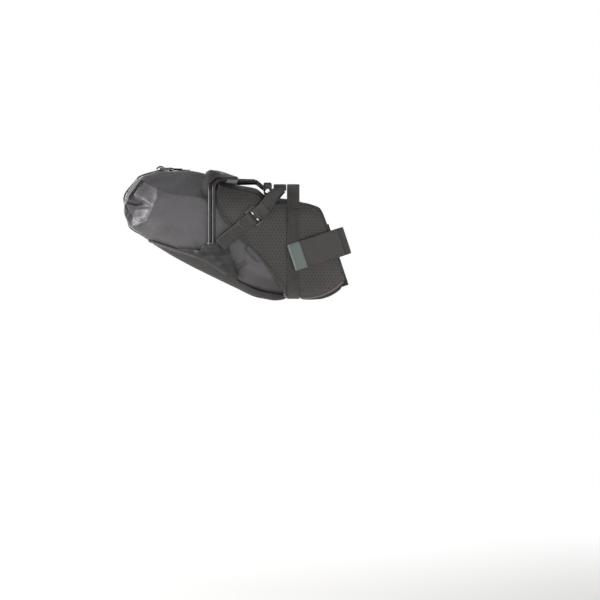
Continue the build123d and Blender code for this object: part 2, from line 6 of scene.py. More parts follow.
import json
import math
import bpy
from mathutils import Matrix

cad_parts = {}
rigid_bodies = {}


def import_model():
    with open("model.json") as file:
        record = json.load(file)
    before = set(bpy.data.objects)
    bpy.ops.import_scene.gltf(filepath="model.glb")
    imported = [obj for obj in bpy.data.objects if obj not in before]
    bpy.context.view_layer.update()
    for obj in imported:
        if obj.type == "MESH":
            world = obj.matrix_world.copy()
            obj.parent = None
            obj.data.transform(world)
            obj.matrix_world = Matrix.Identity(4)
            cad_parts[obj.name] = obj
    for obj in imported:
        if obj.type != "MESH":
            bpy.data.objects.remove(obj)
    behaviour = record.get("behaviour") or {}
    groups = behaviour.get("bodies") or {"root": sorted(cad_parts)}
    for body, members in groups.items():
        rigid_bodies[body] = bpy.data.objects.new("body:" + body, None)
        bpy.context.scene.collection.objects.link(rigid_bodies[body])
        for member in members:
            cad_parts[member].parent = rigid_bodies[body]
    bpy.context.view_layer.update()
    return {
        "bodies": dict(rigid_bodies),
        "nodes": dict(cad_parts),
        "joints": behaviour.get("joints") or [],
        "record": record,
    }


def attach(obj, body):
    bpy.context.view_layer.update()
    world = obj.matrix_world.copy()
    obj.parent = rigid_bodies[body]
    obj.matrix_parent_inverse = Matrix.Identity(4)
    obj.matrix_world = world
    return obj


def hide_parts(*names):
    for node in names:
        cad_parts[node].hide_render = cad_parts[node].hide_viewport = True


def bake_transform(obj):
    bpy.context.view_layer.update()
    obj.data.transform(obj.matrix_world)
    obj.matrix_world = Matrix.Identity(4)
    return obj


bl_info = {
    "name": "Saddle bag",
    "version": (1, 0, 0),
    "blender": (4, 5, 0),
    "location": "3D View > Sidebar > Saddle bag",
    "description": "Builds the cloth, webbing, tubes and fittings of a saddle bag",
    "category": "Add Mesh",
}

import bmesh
import bpy
import numpy as np
from mathutils import Matrix, Vector

MM = 0.001
LEAN = math.radians(18.3)  # of the seat post, back from upright

# Harness sections: x, underside, top, half width
HARNESS = [
    (19.0, -84.0, -58.0, 23.5),
    (0.0, -99.0, 0.0, 24.5),
    (-14.0, -106.0, 37.0, 25.5),
    (-31.0, -110.5, 73.0, 28.5),
    (-52.0, -111.5, 80.0, 35.5),
    (-64.0, -111.0, 83.3, 39.8),
    (-71.0, -108.2, 85.3, 42.7),
    (-84.0, -107.7, 89.0, 48.0),
    (-96.5, -108.2, 90.2, 52.3),
    (-103.5, -111.2, 90.8, 54.6),
    (-120.0, -113.0, 92.0, 60.0),
    (-140.0, -110.0, 98.0, 65.5),
    (-156.0, -107.0, 110.0, 70.0),
    (-198.0, -88.0, 119.0, 79.0),
    (-246.0, -65.0, 139.0, 84.9),
    (-294.0, -41.0, 149.0, 84.9),
    (-330.0, -21.0, 149.0, 84.9),
    (-372.0, 5.5, 140.0, 84.9),
]
# Dry bag sections, the same way
DRY_BAG = [
    (-20.0, -102.5, -60.0, 22.4),
    (-31.0, -107.6, -26.0, 25.6),
    (-40.0, -108.2, 1.4, 28.4),
    (-60.0, -108.6, 14.4, 35.1),
    (-84.0, -108.1, 30.0, 45.1),
    (-120.0, -110.1, 53.4, 57.1),
    (-156.0, -104.1, 76.8, 67.1),
    (-198.0, -85.1, 104.0, 76.1),
    (-246.0, -62.1, 135.2, 82.0),
    (-300.0, -34.8, 145.6, 82.0),
    (-330.0, -18.0, 145.0, 82.0),
    (-364.0, 3.4, 140.5, 81.0),
    (-382.0, 17.0, 130.0, 78.0),
    (-400.0, 28.5, 103.0, 72.0),
    (-412.0, 43.0, 86.0, 67.0),
    (-418.0, 58.0, 76.0, 63.0),
]

# Side-view lines of the dry bag: x, z
ROLL_FACE = [(-421.0, 89.0), (-392.0, 133.0)]
CAP_EDGE = [  # z, x: where the bag's side bends towards its flattened end
    (20.0, -412.0),
    (32.0, -408.0),
    (38.0, -386.0),
    (50.0, -370.0),
    (71.0, -361.0),
    (90.0, -352.0),
    (108.0, -354.0),
    (133.0, -392.0),
    (142.0, -402.0),
]
PLEAT = [(-424.0, 84.0), (-400.0, 83.0), (-380.0, 78.5), (-361.0, 71.0)]
TOP_FOLD = [(-396.0, 134.0), (-354.0, 108.0), (-326.0, 98.0), (-260.0, 88.0), (-236.0, 84.0)]
UNDER_STRAP = [
    (-389.0, 133.0),
    (-384.0, 136.0),
    (-352.0, 146.1),
    (-342.0, 145.8),
    (-329.5, 144.9),
    (-316.0, 145.6),
    (-290.0, 146.6),
    (-272.0, 143.8),
    (-252.0, 138.8),
]
DRY_UNDER = [
    (-368.0, 6.6),
    (-388.0, 19.5),
    (-403.0, 28.0),
    (-410.0, 34.5),
    (-413.5, 47.0),
    (-416.5, 62.0),
    (-419.0, 76.0),
    (-420.3, 84.0),
]
DRY_LIMIT = 79.0  # half width up to which the load swells the bag freely
# Depths of the dry bag's folds
END_DEPTH = 6.5
END_HOLLOW = 6.0
END_RIDGE = 0.8
PLEAT_DEPTH = 15.0
TOP_TURN_DEPTH = 14.0
WINDOW_BULGE = 3.8
WINDOW_CREASE = 3.0
FOOT_ROOM = 2.4
# Rolled closure
ROLL_HALF = 63.0  # half of its length across the bag
ROLL_TURNS = 3.5
ROLL_SETBACK = 4.5  # from its outer face to its middle

# Side-view lines of the harness: x, z
BASE_EDGE = [
    (-370.0, 6.0),
    (-313.0, -12.0),
    (-260.0, -28.0),
    (-215.0, -58.0),
    (-190.0, -76.0),
    (-146.0, -96.0),
    (-101.0, -104.0),
]
SIDE_LOW = [
    (-232.0, 78.0),
    (-226.0, 60.0),
    (-206.0, 32.0),
    (-184.0, 7.0),
    (-172.0, -8.0),
    (-144.0, -36.0),
    (-120.0, -66.0),
    (-101.0, -96.0),
]
SIDE_HIGH = [
    (-232.0, 79.0),
    (-231.0, 100.0),
    (-226.0, 112.0),
    (-198.0, 106.0),
    (-156.0, 96.0),
    (-140.0, 84.0),
    (-120.0, 78.0),
    (-100.0, 79.0),
    (-84.0, 82.0),
    (-60.0, 80.0),
    (-31.0, 71.5),
]
REAR_EDGE = [
    (-226.5, 113.0),
    (-230.6, 100.0),
    (-231.2, 80.0),
    (-225.0, 61.0),
    (-204.0, 31.0),
    (-186.0, 10.0),
]
LABEL = [(-171.0, -4.5), (-145.0, -31.0)]
WING_HIGH = [
    (-313.0, -10.5),
    (-290.0, -11.5),
    (-264.0, -13.0),
    (-258.0, -4.0),
    (-236.0, -2.0),
    (-226.0, 13.0),
    (-217.0, 9.0),
    (-209.0, -10.0),
    (-203.0, -36.0),
    (-192.0, -70.0),
]
WING_LOW = [(-313.0, -12.5), (-260.0, -32.0), (-215.0, -60.0), (-192.0, -73.0)]
POCKET_DEPTH = 5.75
CHIN_HALF_WIDTH = 22.0
CHIN_REAR = -101.0
TOP_REAR = -230.0
BASE_REAR = -371.0
NOTCH_X = -83.5  # where the girth strap draws the base in
POST_ROOM = 19.2  # radius kept free for the seat post and its pad
PANEL_CLOTH = 2.2
PANEL_DIMPLES = 0.9
BASE_CLOTH = 2.3
TAPE = 1.5
RIPPLE_WAVES = 7

# Straps
WEBBING_WIDTH = 25.0
WEBBING = 1.8
BUCKLE_PIN = (-165.4, 77.8, 47.3)  # on the left side
STRAP_FOOT = (-226.0, 98.8, -4.0)
LOCK_PIN = (-329.5, 0.0, 149.2)
LOCK_FOOT = (-290.0, 0.0, 148.0)
SHOULDER = [
    ((-132.0, 62.5, 81.0), (0.05, 0.90, 0.40)),
    ((-121.0, 47.0, 98.0), (0.0, 0.72, 0.69)),
    ((-110.0, 31.0, 109.0), (0.0, 0.52, 0.85)),
]
GIRTH_TOP = 70.0
RAIL = (22.0, 113.0)  # half gap between the saddle rails, and their height
RAIL_LOOP = 4.7

# Post strap, in the post's own section: forward, left
STRAP_LINE = [
    (-58.0, 41.6),
    (0.0, 28.4),
    (13.0, 25.2),
    (19.0, 21.0),
    (24.4, 12.0),
    (24.4, -12.0),
    (19.0, -21.0),
    (13.1, -26.6),
]
FLAP_LINE = [(-66.0, -46.4), (0.0, -30.4), (12.6, -27.6)]
LOOP_LINE = [(-59.0, -41.1), (-3.0, -27.5)]
HOOK_LINE = [(-57.0, -42.4), (-6.0, -30.0)]
TAB_LINE = [(-91.4, -56.2), (-66.6, -47.0)]
STRAP_WIDTH = 55.0
POST_CLOTH = 2.2
PATCH = 1.2

# Sway frame
TUBE_RADIUS = 3.5
HOOP_X = -247.2
ARM_X = -239.4
TUBE_Y = 87.3
HOOP_TOP = 140.77
ARM_LEVEL = 123.97
TUBE_FOOT = -6.0
ARM_BEND_POINT = (-158.0, 42.0)
HOOP_BEND = 42.0
ARM_BEND = 17.0
SLEEVE_PLACE = 0.42  # of the way from the arm's upper corner to its bend
FLAP_MIDDLE = [
    (-256.0, 141.0),
    (-247.0, 145.3),
    (-238.0, 145.2),
    (-230.0, 143.9),
    (-206.0, 136.0),
    (-194.0, 130.9),
]
FLAP_SIDE = [
    (-256.0, 123.5),
    (-253.0, 121.0),
    (-247.0, 118.5),
    (-240.0, 121.5),
    (-234.0, 126.0),
    (-226.0, 129.0),
]
FLAP_GAP = 0.9
BOLT = (-134.5, 32.45, 104.4)

# Stage: the floor's height in millimetres, and the lights in metres: name, place, size, power
FLOOR_LEVEL = -780.0
LIGHT_TARGET = (-0.2, 0, 0.03)
LIGHTS = [
    ("rear key", (-3.1, -0.85, 0.25), (1.2, 1.2), 205),
    ("near fill", (0.3, -2.8, -0.3), (2.4, 0.9), 39),
    ("front fill", (2.4, -1.6, 0.0), (1.4, 1.4), 26),
    ("top", (0.1, 0.5, 2.4), (1.6, 1.6), 3),
    ("far side", (-0.3, 2.8, 0.3), (2.0, 1.6), 45),
]


# ---- plain geometry ----------------------------------------------------------------------------


def smooth(xs, ys, x):
    """Smooth curve through the points of a table, which never overshoots them."""
    xs, ys, x = (np.asarray(v, float) for v in (xs, ys, x))
    step = np.diff(xs)
    rise = np.diff(ys) / step
    slope = np.concatenate([rise[:1], np.zeros(len(xs) - 2), rise[-1:]])
    same = rise[:-1] * rise[1:] > 0
    slope[1:-1][same] = (2 * rise[:-1] * rise[1:])[same] / (rise[:-1] + rise[1:])[same]
    i = np.clip(np.searchsorted(xs, x) - 1, 0, len(step) - 1)
    t = np.clip((x - xs[i]) / step[i], 0, 1)
    start = (1 + 2 * t) * (1 - t) ** 2 * ys[i] + t * (1 - t) ** 2 * step[i] * slope[i]
    return start + t * t * (3 - 2 * t) * ys[i + 1] + t * t * (t - 1) * step[i] * slope[i + 1]


def column(rows, x, which):
    """One column of a table at x, smoothly."""
    rows = sorted(rows)
    return smooth([r[0] for r in rows], [r[which] for r in rows], x)


def line_at(rows, x):
    """Second value of a two-column table at x, smoothly."""
    return smooth(*zip(*rows), x)


def ease(value, low, high):
    """0 below low, 1 above high and a smooth rise between."""
    t = np.clip((np.asarray(value, float) - low) / (high - low), 0, 1)
    return t * t * (3 - 2 * t)


def between(value, a, b, c, d):
    """1 from b to c, 0 below a and above d, with smooth slopes."""
    return ease(value, a, b) * (1 - ease(value, c, d))


def unit(v):
    """Vectors brought to a length of 1."""
    v = np.asarray(v, float)
    return v / np.maximum(np.linalg.norm(v, axis=-1, keepdims=True), 1e-12)


def beside(line):
    """Directions to the left of a flat line, the way it runs."""
    ahead = unit(np.gradient(line, axis=0))
    return np.stack([-ahead[:, 1], ahead[:, 0]], -1)


def section(rows, x, grow):
    """Underside, top, half width and corner radius of a section at x, grown outwards by a distance."""
    bottom = column(rows, x, 1) - grow
    top = column(rows, x, 2) + grow
    half = column(rows, x, 3) + grow
    corner = np.minimum(np.minimum(0.8 * (half - grow) + grow, 0.48 * (top - bottom)), 0.97 * half)
    return bottom, top, half, corner


def around(rows, x, turn, grow=0.0):
    """Points on a section's left half: turn 0 is the middle of its underside and 1 the middle of its top."""
    x, turn = np.broadcast_arrays(np.asarray(x, float), np.asarray(turn, float))
    bottom, top, half, corner = section(rows, x, grow)
    flat, arc, side = half - corner, math.pi / 2 * corner, top - bottom - 2 * corner
    d = turn * (2 * flat + 2 * arc + side)
    low = np.clip((d - flat) / corner, 0, math.pi / 2)
    high = np.clip((d - flat - arc - side) / corner, 0, math.pi / 2)
    last = np.clip(d - flat - 2 * arc - side, 0, None)
    y = np.minimum(d, flat) + corner * np.sin(low) - corner * (1 - np.cos(high)) - last
    z = bottom + corner * (1 - np.cos(low)) + np.clip(d - flat - arc, 0, side) + corner * np.sin(high)
    return np.stack([x, y, z], -1)


def turn_at(rows, x, z, grow=0.0):
    """Turn at which a section's left side reaches a height."""
    bottom, top, half, corner = section(rows, np.asarray(x, float), grow)
    flat, arc, side = half - corner, math.pi / 2 * corner, top - bottom - 2 * corner
    low = corner * np.arccos(np.clip((bottom + corner - z) / corner, 0, 1))
    high = corner * np.arcsin(np.clip((z - top + corner) / corner, 0, 1))
    return (flat + low + np.clip(z - bottom - corner, 0, side) + high) / (2 * flat + 2 * arc + side)


def turn_under(rows, x, y):
    """Turn at which a section's underside is a distance out from its middle."""
    bottom, top, half, corner = section(rows, np.asarray(x, float), 0.0)
    flat, arc, side = half - corner, math.pi / 2 * corner, top - bottom - 2 * corner
    out = corner * np.arcsin(np.clip((y - flat) / corner, 0, 1))
    return (np.minimum(y, flat) + out) / (2 * flat + 2 * arc + side)


def facing(rows, x, turn, grow=0.0):
    """Outward directions of a section surface's left half."""
    ahead = around(rows, x + 0.7, turn, grow) - around(rows, x - 0.7, turn, grow)
    higher, lower = np.minimum(turn + 0.002, 1), np.maximum(turn - 0.002, 0)
    up = around(rows, x, higher, grow) - around(rows, x, lower, grow)
    return unit(np.cross(up, ahead))


def lengths(points):
    """Distance from a line's start to each of its points."""
    points = np.asarray(points, float)
    return np.concatenate([[0], np.cumsum(np.linalg.norm(np.diff(points, axis=0), axis=1))])


def along(points, step, bend=True):
    """The line through the points, resampled at even steps; bend makes it a smooth curve."""
    points = np.asarray(points, float)
    at = lengths(points)
    s = np.linspace(0, at[-1], max(3, int(round(at[-1] / step)) + 1))
    fit = smooth if bend else (lambda a, b, c: np.interp(c, a, b))
    return np.stack([fit(at, points[:, k], s) for k in range(points.shape[1])], -1)


def filleted(points, radius, step=1.5):
    """Straight runs with an arc at each corner."""
    points = [np.asarray(p, float) for p in points]
    line = [points[0]]
    for a, b, c in zip(points, points[1:], points[2:]):
        u, w = unit(a - b), unit(c - b)
        half = math.acos(float(np.clip(u @ w, -1, 1))) / 2
        if half > math.pi / 2 - 0.02:
            line.append(b)
            continue
        cut = min(radius / math.tan(half), 0.49 * np.linalg.norm(a - b), 0.49 * np.linalg.norm(c - b))
        r = cut * math.tan(half)
        centre = b + unit(u + w) * r / math.sin(half)
        p, q = unit(b + u * cut - centre), unit(b + w * cut - centre)
        angle = math.acos(float(np.clip(p @ q, -1, 1)))
        for t in np.linspace(0, 1, max(3, int(r * angle / step) + 2)):
            turned = math.sin((1 - t) * angle) * p + math.sin(t * angle) * q
            line.append(centre + r * turned / math.sin(angle))
    return np.array(line + [points[-1]])


def ripple(points, size, seed):
    """Smooth uneven field from about -1 to 1 over points, with bumps about size across."""
    rng = np.random.default_rng(seed)
    points = np.asarray(points, float)
    total = np.zeros(points.shape[:-1])
    for _ in range(RIPPLE_WAVES):
        direction = rng.normal(size=3)
        direction *= 2 * math.pi / (size * np.linalg.norm(direction) * rng.uniform(0.7, 1.5))
        total += np.sin(points @ direction + rng.uniform(0, 2 * math.pi))
    return total / math.sqrt(RIPPLE_WAVES) / 1.6


def post_space(points):
    """Points given as forward, left and up along the seat post, in the bag's own axes."""
    ahead, left, up = np.moveaxis(np.asarray(points, float), -1, 0)
    x = ahead * math.cos(LEAN) - up * math.sin(LEAN)
    z = ahead * math.sin(LEAN) + up * math.cos(LEAN)
    return np.stack([x, left, z], -1)


# ---- meshes ------------------------------------------------------------------------------------


def linked(name, data):
    """New object with its data, in the scene."""
    obj = bpy.data.objects.new(name, data)
    bpy.context.scene.collection.objects.link(obj)
    return obj


def evaluated(obj):
    """New mesh of a piece as its modifiers leave it."""
    return bpy.data.meshes.new_from_object(obj.evaluated_get(bpy.context.evaluated_depsgraph_get()))


def shade_smooth(mesh):
    """Smooth shading on every face."""
    mesh.polygons.foreach_set("use_smooth", [True] * len(mesh.polygons))


def points_of(mesh):
    """A mesh's points in millimetres."""
    return np.array([v.co for v in mesh.vertices]) / MM


def move_points(mesh, points):
    """Brings a mesh's points to places in millimetres."""
    mesh.vertices.foreach_set("co", (points * MM).ravel())
    mesh.update()


def piece(name, points, faces, uvs=None):
    """Mesh object from points in millimetres. uvs has one pair for each point, in millimetres too."""
    mesh = bpy.data.meshes.new(name)
    mesh.from_pydata([tuple(p) for p in np.asarray(points, float).reshape(-1, 3) * MM], [], faces)
    if uvs is not None:
        uvs = np.asarray(uvs, float).reshape(-1, 2) * MM
        layer = mesh.uv_layers.new(name="Cloth")
        index = np.zeros(len(mesh.loops), int)
        mesh.loops.foreach_get("vertex_index", index)
        layer.data.foreach_set("uv", uvs[index].ravel())
    shade_smooth(mesh)
    mesh.update()
    return linked(name, mesh)


def outward(obj):
    """Turns a closed mesh's faces outwards."""
    work = bmesh.new()
    work.from_mesh(obj.data)
    bmesh.ops.recalc_face_normals(work, faces=work.faces)
    work.to_mesh(obj.data)
    work.free()
    return obj


def crease(obj, degrees):
    """Smooth shading, with sharp edges where faces meet at more than an angle."""
    obj.data.set_sharp_from_angle(angle=math.radians(degrees))
    return obj


def grid_faces(rows, columns, start=0, closed=False):
    """Faces of a grid of points, whose columns may close into a ring."""
    faces = []
    for i in range(rows - 1):
        for j in range(columns if closed else columns - 1):
            k = (j + 1) % columns
            a, b = start + i * columns, start + (i + 1) * columns
            faces.append((a + j, a + k, b + k, b + j))
    return faces


def grid_uvs(grid):
    """Distances along and across a grid of points, from its own middle."""
    rows, columns = grid.shape[:2]
    down = np.linalg.norm(np.diff(grid, axis=0), axis=2)
    over = np.linalg.norm(np.diff(grid, axis=1), axis=2)
    u = np.concatenate([np.zeros((1, columns)), np.cumsum(down, 0)])
    v = np.concatenate([np.zeros((rows, 1)), np.cumsum(over, 1)], 1)
    return np.stack([u, v - v[:, columns // 2][:, None]], -1)


def tube_faces(rows, columns):
    """Faces of rings of points, with one more face at each end."""
    ends = [tuple(range(columns))[::-1], tuple(range((rows - 1) * columns, rows * columns))]
    return grid_faces(rows, columns, closed=True) + ends


def shell(name, outer, inner):
    """Closed cloth shell between two grids of the same size, with square-cut edges."""
    n, m = outer.shape[:2]
    faces = grid_faces(n, m) + [f[::-1] for f in grid_faces(n, m, n * m)]
    ring = [(0, j) for j in range(m)] + [(i, m - 1) for i in range(1, n)]
    ring += [(n - 1, j) for j in range(m - 2, -1, -1)] + [(i, 0) for i in range(n - 2, 0, -1)]
    ring = [i * m + j for i, j in ring]
    for a, b in zip(ring, ring[1:] + ring[:1]):
        faces.append((b, a, a + n * m, b + n * m))
    points = np.concatenate([outer.reshape(-1, 3), inner.reshape(-1, 3)])
    return outward(piece(name, points, faces, np.concatenate([grid_uvs(outer)] * 2)))


def mirrored(obj, name):
    """Mirror image of a piece on the bag's other side."""
    mesh = obj.data.copy()
    mesh.transform(Matrix.Scale(-1, 4, (0, 1, 0)))
    mesh.flip_normals()
    return linked(name, mesh)


def strap_profile(columns):
    """Cross-section of a strap 1 wide and 1 thick: nearly flat faces and round edges."""
    t = np.linspace(-1, 1, columns + 1)
    across = np.sign(t) * (1 - (1 - np.abs(t)) ** 1.7) / 2
    high = (1 - (2 * np.abs(across)) ** 10) ** 0.5 / 2
    rim = np.array([[0.5, 0.0]])
    top = np.stack([across[1:-1], high[1:-1]], -1)
    return np.concatenate([-rim, top, rim, top[::-1] * (1, -1)])


def ribbon(name, path, out, width, thickness, columns=8):
    """Strap along a path, out being the way that its outer face looks."""
    path, out = np.asarray(path, float), np.broadcast_to(np.asarray(out, float), np.shape(path))
    ahead = unit(np.gradient(path, axis=0))
    out = unit(out - ahead * np.sum(out * ahead, -1, keepdims=True))
    profile = strap_profile(columns)
    wide, high = profile[:, 0] * width, profile[:, 1] * thickness
    across = np.cross(ahead, out)
    rings = path[:, None] + across[:, None] * wide[:, None] + out[:, None] * high[None, :, None]
    count, size = rings.shape[:2]
    at = np.repeat(lengths(path)[:, None], size, 1)
    uvs = np.stack(np.broadcast_arrays(at, wide), -1)
    return outward(piece(name, rings, tube_faces(count, size), uvs))


def tube(name, path, radius, sides=20):
    """Round tube along a path."""
    path = np.asarray(path, float)
    ahead = unit(np.gradient(path, axis=0))
    rings, side = [], unit(np.cross(ahead[0], (0.31, 0.93, 0.17)))
    turn = np.linspace(0, 2 * math.pi, sides, endpoint=False)[:, None]
    for p, a in zip(path, ahead):
        side = unit(side - a * (side @ a))
        rings.append(p + radius * (np.cos(turn) * side + np.sin(turn) * np.cross(a, side)))
    round_it = np.linspace(0, 2 * math.pi * radius, sides)[None]
    uvs = np.stack(np.broadcast_arrays(lengths(path)[:, None], round_it), -1)
    return crease(outward(piece(name, np.array(rings), tube_faces(len(path), sides), uvs)), 50)


def changed(obj, kind, **settings):
    """Applies one modifier to a piece's mesh."""
    modifier = obj.modifiers.new(kind.title(), kind)
    for key, value in settings.items():
        setattr(modifier, key, value)
    bpy.context.view_layer.update()
    mesh = evaluated(obj)
    obj.modifiers.clear()
    obj.data = mesh
    return obj


class Parts:
    """What the operators share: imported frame, sizes, colours, materials and lines of stitches."""

    frame = None
    sizes = None
    colours = None
    materials = {}
    stitches = {}


def place(obj, body, material, nodes=()):
    """Gives a piece its material, the body that it rides, if any, and the CAD nodes that it stands for."""
    obj.data.materials.clear()
    obj.data.materials.append(Parts.materials[material])
    if body:
        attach(obj, body)
    if nodes:
        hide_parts(*nodes)
    return obj


def place_pair(left, name, body, material, nodes=()):
    """Places a left-hand piece and its mirror image; body and nodes may name sides with a {}."""
    left.name = name + "_left"
    right = mirrored(left, name + "_right")
    for side, obj in (("left", left), ("right", right)):
        place(obj, body.format(side), material, [n + "_" + side for n in nodes])
    return left, right


def dressed(node, body, material, bevel):
    """Stands in for a hard CAD piece with a copy that has small round edges."""
    obj = linked(node + "_piece", Parts.frame["nodes"][node].data.copy())
    work = bmesh.new()
    work.from_mesh(obj.data)
    bmesh.ops.remove_doubles(work, verts=work.verts, dist=2e-6)
    bmesh.ops.dissolve_limit(work, angle_limit=math.radians(1), verts=work.verts, edges=work.edges)
    work.to_mesh(obj.data)
    work.free()
    shade_smooth(obj.data)
    limits = {"limit_method": "ANGLE", "angle_limit": math.radians(35), "harden_normals": True}
    changed(obj, "BEVEL", width=bevel * MM, segments=2, **limits)
    return place(obj, body, material, [node])


def stitch(points, body="harness", thread="thread"):
    """Notes a line of stitches in the given body, to be sewn when all lines are known."""
    Parts.stitches.setdefault((body, thread), []).append(np.asarray(points, float))


def stitch_sides(points, body="harness"):
    """Notes a line of stitches on the left and its mirror image on the right."""
    points = np.asarray(points, float)
    for side, y in (("left", 1), ("right", -1)):
        stitch(points * (1, y, 1), body.format(side))


# ---- repeats made with Geometry Nodes ----------------------------------------------------------


def node_tree(name, inputs):
    """Empty Geometry Nodes tree with a geometry input, named inputs and a geometry output."""
    tree = bpy.data.node_groups.new(name, "GeometryNodeTree")
    tree.interface.new_socket(name="Geometry", in_out="INPUT", socket_type="NodeSocketGeometry")
    for label, kind in inputs:
        tree.interface.new_socket(name=label, in_out="INPUT", socket_type="NodeSocket" + kind)
    tree.interface.new_socket(name="Geometry", in_out="OUTPUT", socket_type="NodeSocketGeometry")
    return tree


def add(tree, kind, inputs=(), **settings):
    """Adds a node with its settings. An input takes a value, a socket, or the first output of a node."""
    node = tree.nodes.new(kind)
    for key, value in settings.items():
        setattr(node, key, value)
    for key, value in dict(inputs).items():
        socket = node.inputs[key]
        if isinstance(value, bpy.types.Node):
            value = value.outputs[0]
        if isinstance(value, bpy.types.NodeSocket):
            tree.links.new(value, socket)
        else:
            socket.default_value = value
    return node


def grown(source, tree, values, name):
    """Plain mesh object that a Geometry Nodes tree makes from a source object, which is then removed."""
    modifier = source.modifiers.new("Repeats", "NODES")
    modifier.node_group = tree
    for item in tree.interface.items_tree:
        if item.in_out == "INPUT" and item.name in values:
            modifier[item.identifier] = values[item.name]
    bpy.context.view_layer.update()
    mesh = evaluated(source)
    mesh.name = name
    bpy.data.objects.remove(source)
    return linked(name, mesh)


def stitch_tree():
    """Rows of thread stitches along the edges of a mesh."""
    tree = node_tree(
        "Stitches", [("Pitch", "Float"), ("Length", "Float"), ("Thread", "Float"), ("Material", "Material")]
    )
    source = add(tree, "NodeGroupInput")
    curve = add(tree, "GeometryNodeMeshToCurve", {"Mesh": source.outputs["Geometry"]})
    spaced = add(
        tree,
        "GeometryNodeResampleCurve",
        {"Curve": curve, "Length": source.outputs["Pitch"]},
        mode="LENGTH",
    )
    ball = add(tree, "GeometryNodeMeshUVSphere", {"Segments": 6, "Rings": 5, "Radius": 0.5})
    scale = add(
        tree,
        "ShaderNodeCombineXYZ",
        {0: source.outputs["Thread"], 1: source.outputs["Thread"], 2: source.outputs["Length"]},
    )
    loop = add(tree, "GeometryNodeTransform", {"Geometry": ball, "Scale": scale})
    tangent = add(tree, "GeometryNodeInputTangent")
    turn = add(tree, "FunctionNodeAlignRotationToVector", {"Vector": tangent}, axis="Z")
    sewn = add(tree, "GeometryNodeInstanceOnPoints", {"Points": spaced, "Instance": loop, "Rotation": turn})
    real = add(tree, "GeometryNodeRealizeInstances", {"Geometry": sewn})
    finish = add(tree, "GeometryNodeSetMaterial", {"Geometry": real, "Material": source.outputs["Material"]})
    add(tree, "NodeGroupOutput", {"Geometry": finish})
    return tree


def hole_tree():
    """Staggered rows of small flat dark discs, laid on a mesh from its side and drawn coarser than real ones;
    their colour is painted shade that stands in for the inside of round pits.
    """
    tree = node_tree(
        "Perforation",
        [("Pitch", "Float"), ("Radius", "Float"), ("Side", "Float"), ("Material", "Material")],
    )
    source = add(tree, "NodeGroupInput")
    pitch = source.outputs["Pitch"]

    def maths(operation, a, b=0.0):
        """Result of one operation on two values."""
        return add(tree, "ShaderNodeMath", {0: a, 1: b}, operation=operation).outputs[0]

    rise = maths("MULTIPLY", pitch, math.sqrt(3) / 2)
    size = {"Size X": maths("MULTIPLY", pitch, 43.0), "Size Y": maths("MULTIPLY", rise, 39.0)}
    span = add(tree, "GeometryNodeMeshGrid", {"Vertices X": 44, "Vertices Y": 40, **size})
    upright = add(
        tree,
        "GeometryNodeTransform",
        {"Geometry": span, "Rotation": (math.pi / 2, 0, 0), "Translation": (-0.1, 0, 0)},
    )
    position = add(tree, "GeometryNodeInputPosition")
    apart = add(tree, "ShaderNodeSeparateXYZ", {0: position})
    row = maths("ROUND", maths("ADD", maths("DIVIDE", apart.outputs[2], rise), 100.5))
    shift = maths("MULTIPLY", maths("MODULO", row, 2.0), maths("MULTIPLY", pitch, 0.5))
    offset = add(
        tree, "ShaderNodeCombineXYZ", {0: shift, 1: maths("MULTIPLY", source.outputs["Side"], 0.3), 2: 0.0}
    )
    rows = add(tree, "GeometryNodeSetPosition", {"Geometry": upright, "Offset": offset})
    inwards = add(
        tree, "ShaderNodeCombineXYZ", {0: 0.0, 1: maths("MULTIPLY", source.outputs["Side"], -1.0), 2: 0.0}
    )
    target = {"Target Geometry": source.outputs["Geometry"], "Ray Direction": inwards, "Ray Length": 0.4}
    ray = add(tree, "GeometryNodeRaycast", target)
    lift = add(
        tree, "ShaderNodeVectorMath", {0: ray.outputs["Hit Normal"], "Scale": 0.00012}, operation="SCALE"
    )
    on = add(tree, "ShaderNodeVectorMath", {0: ray.outputs["Hit Position"], 1: lift}, operation="ADD")
    missed = add(tree, "FunctionNodeBooleanMath", {0: ray.outputs["Is Hit"]}, operation="NOT")
    kept = add(tree, "GeometryNodeCaptureAttribute", {"Geometry": rows})
    caught = {"Normal": ray.outputs["Hit Normal"], "Missed": missed.outputs[0], "On": on.outputs[0]}
    for label, value in caught.items():
        kept.capture_items.new("BOOLEAN" if label == "Missed" else "VECTOR", label)
        tree.links.new(value, kept.inputs[label])
    landed = add(
        tree,
        "GeometryNodeSetPosition",
        {"Geometry": kept.outputs["Geometry"], "Position": kept.outputs["On"]},
    )
    hit = add(tree, "GeometryNodeDeleteGeometry", {"Geometry": landed, "Selection": kept.outputs["Missed"]})
    disc = add(
        tree,
        "GeometryNodeMeshCircle",
        {"Vertices": 8, "Radius": source.outputs["Radius"]},
        fill_type="NGON",
    )
    turn = add(tree, "FunctionNodeAlignRotationToVector", {"Vector": kept.outputs["Normal"]}, axis="Z")
    put = add(tree, "GeometryNodeInstanceOnPoints", {"Points": hit, "Instance": disc, "Rotation": turn})
    real = add(tree, "GeometryNodeRealizeInstances", {"Geometry": put})
    finish = add(tree, "GeometryNodeSetMaterial", {"Geometry": real, "Material": source.outputs["Material"]})
    add(tree, "NodeGroupOutput", {"Geometry": finish})
    return tree


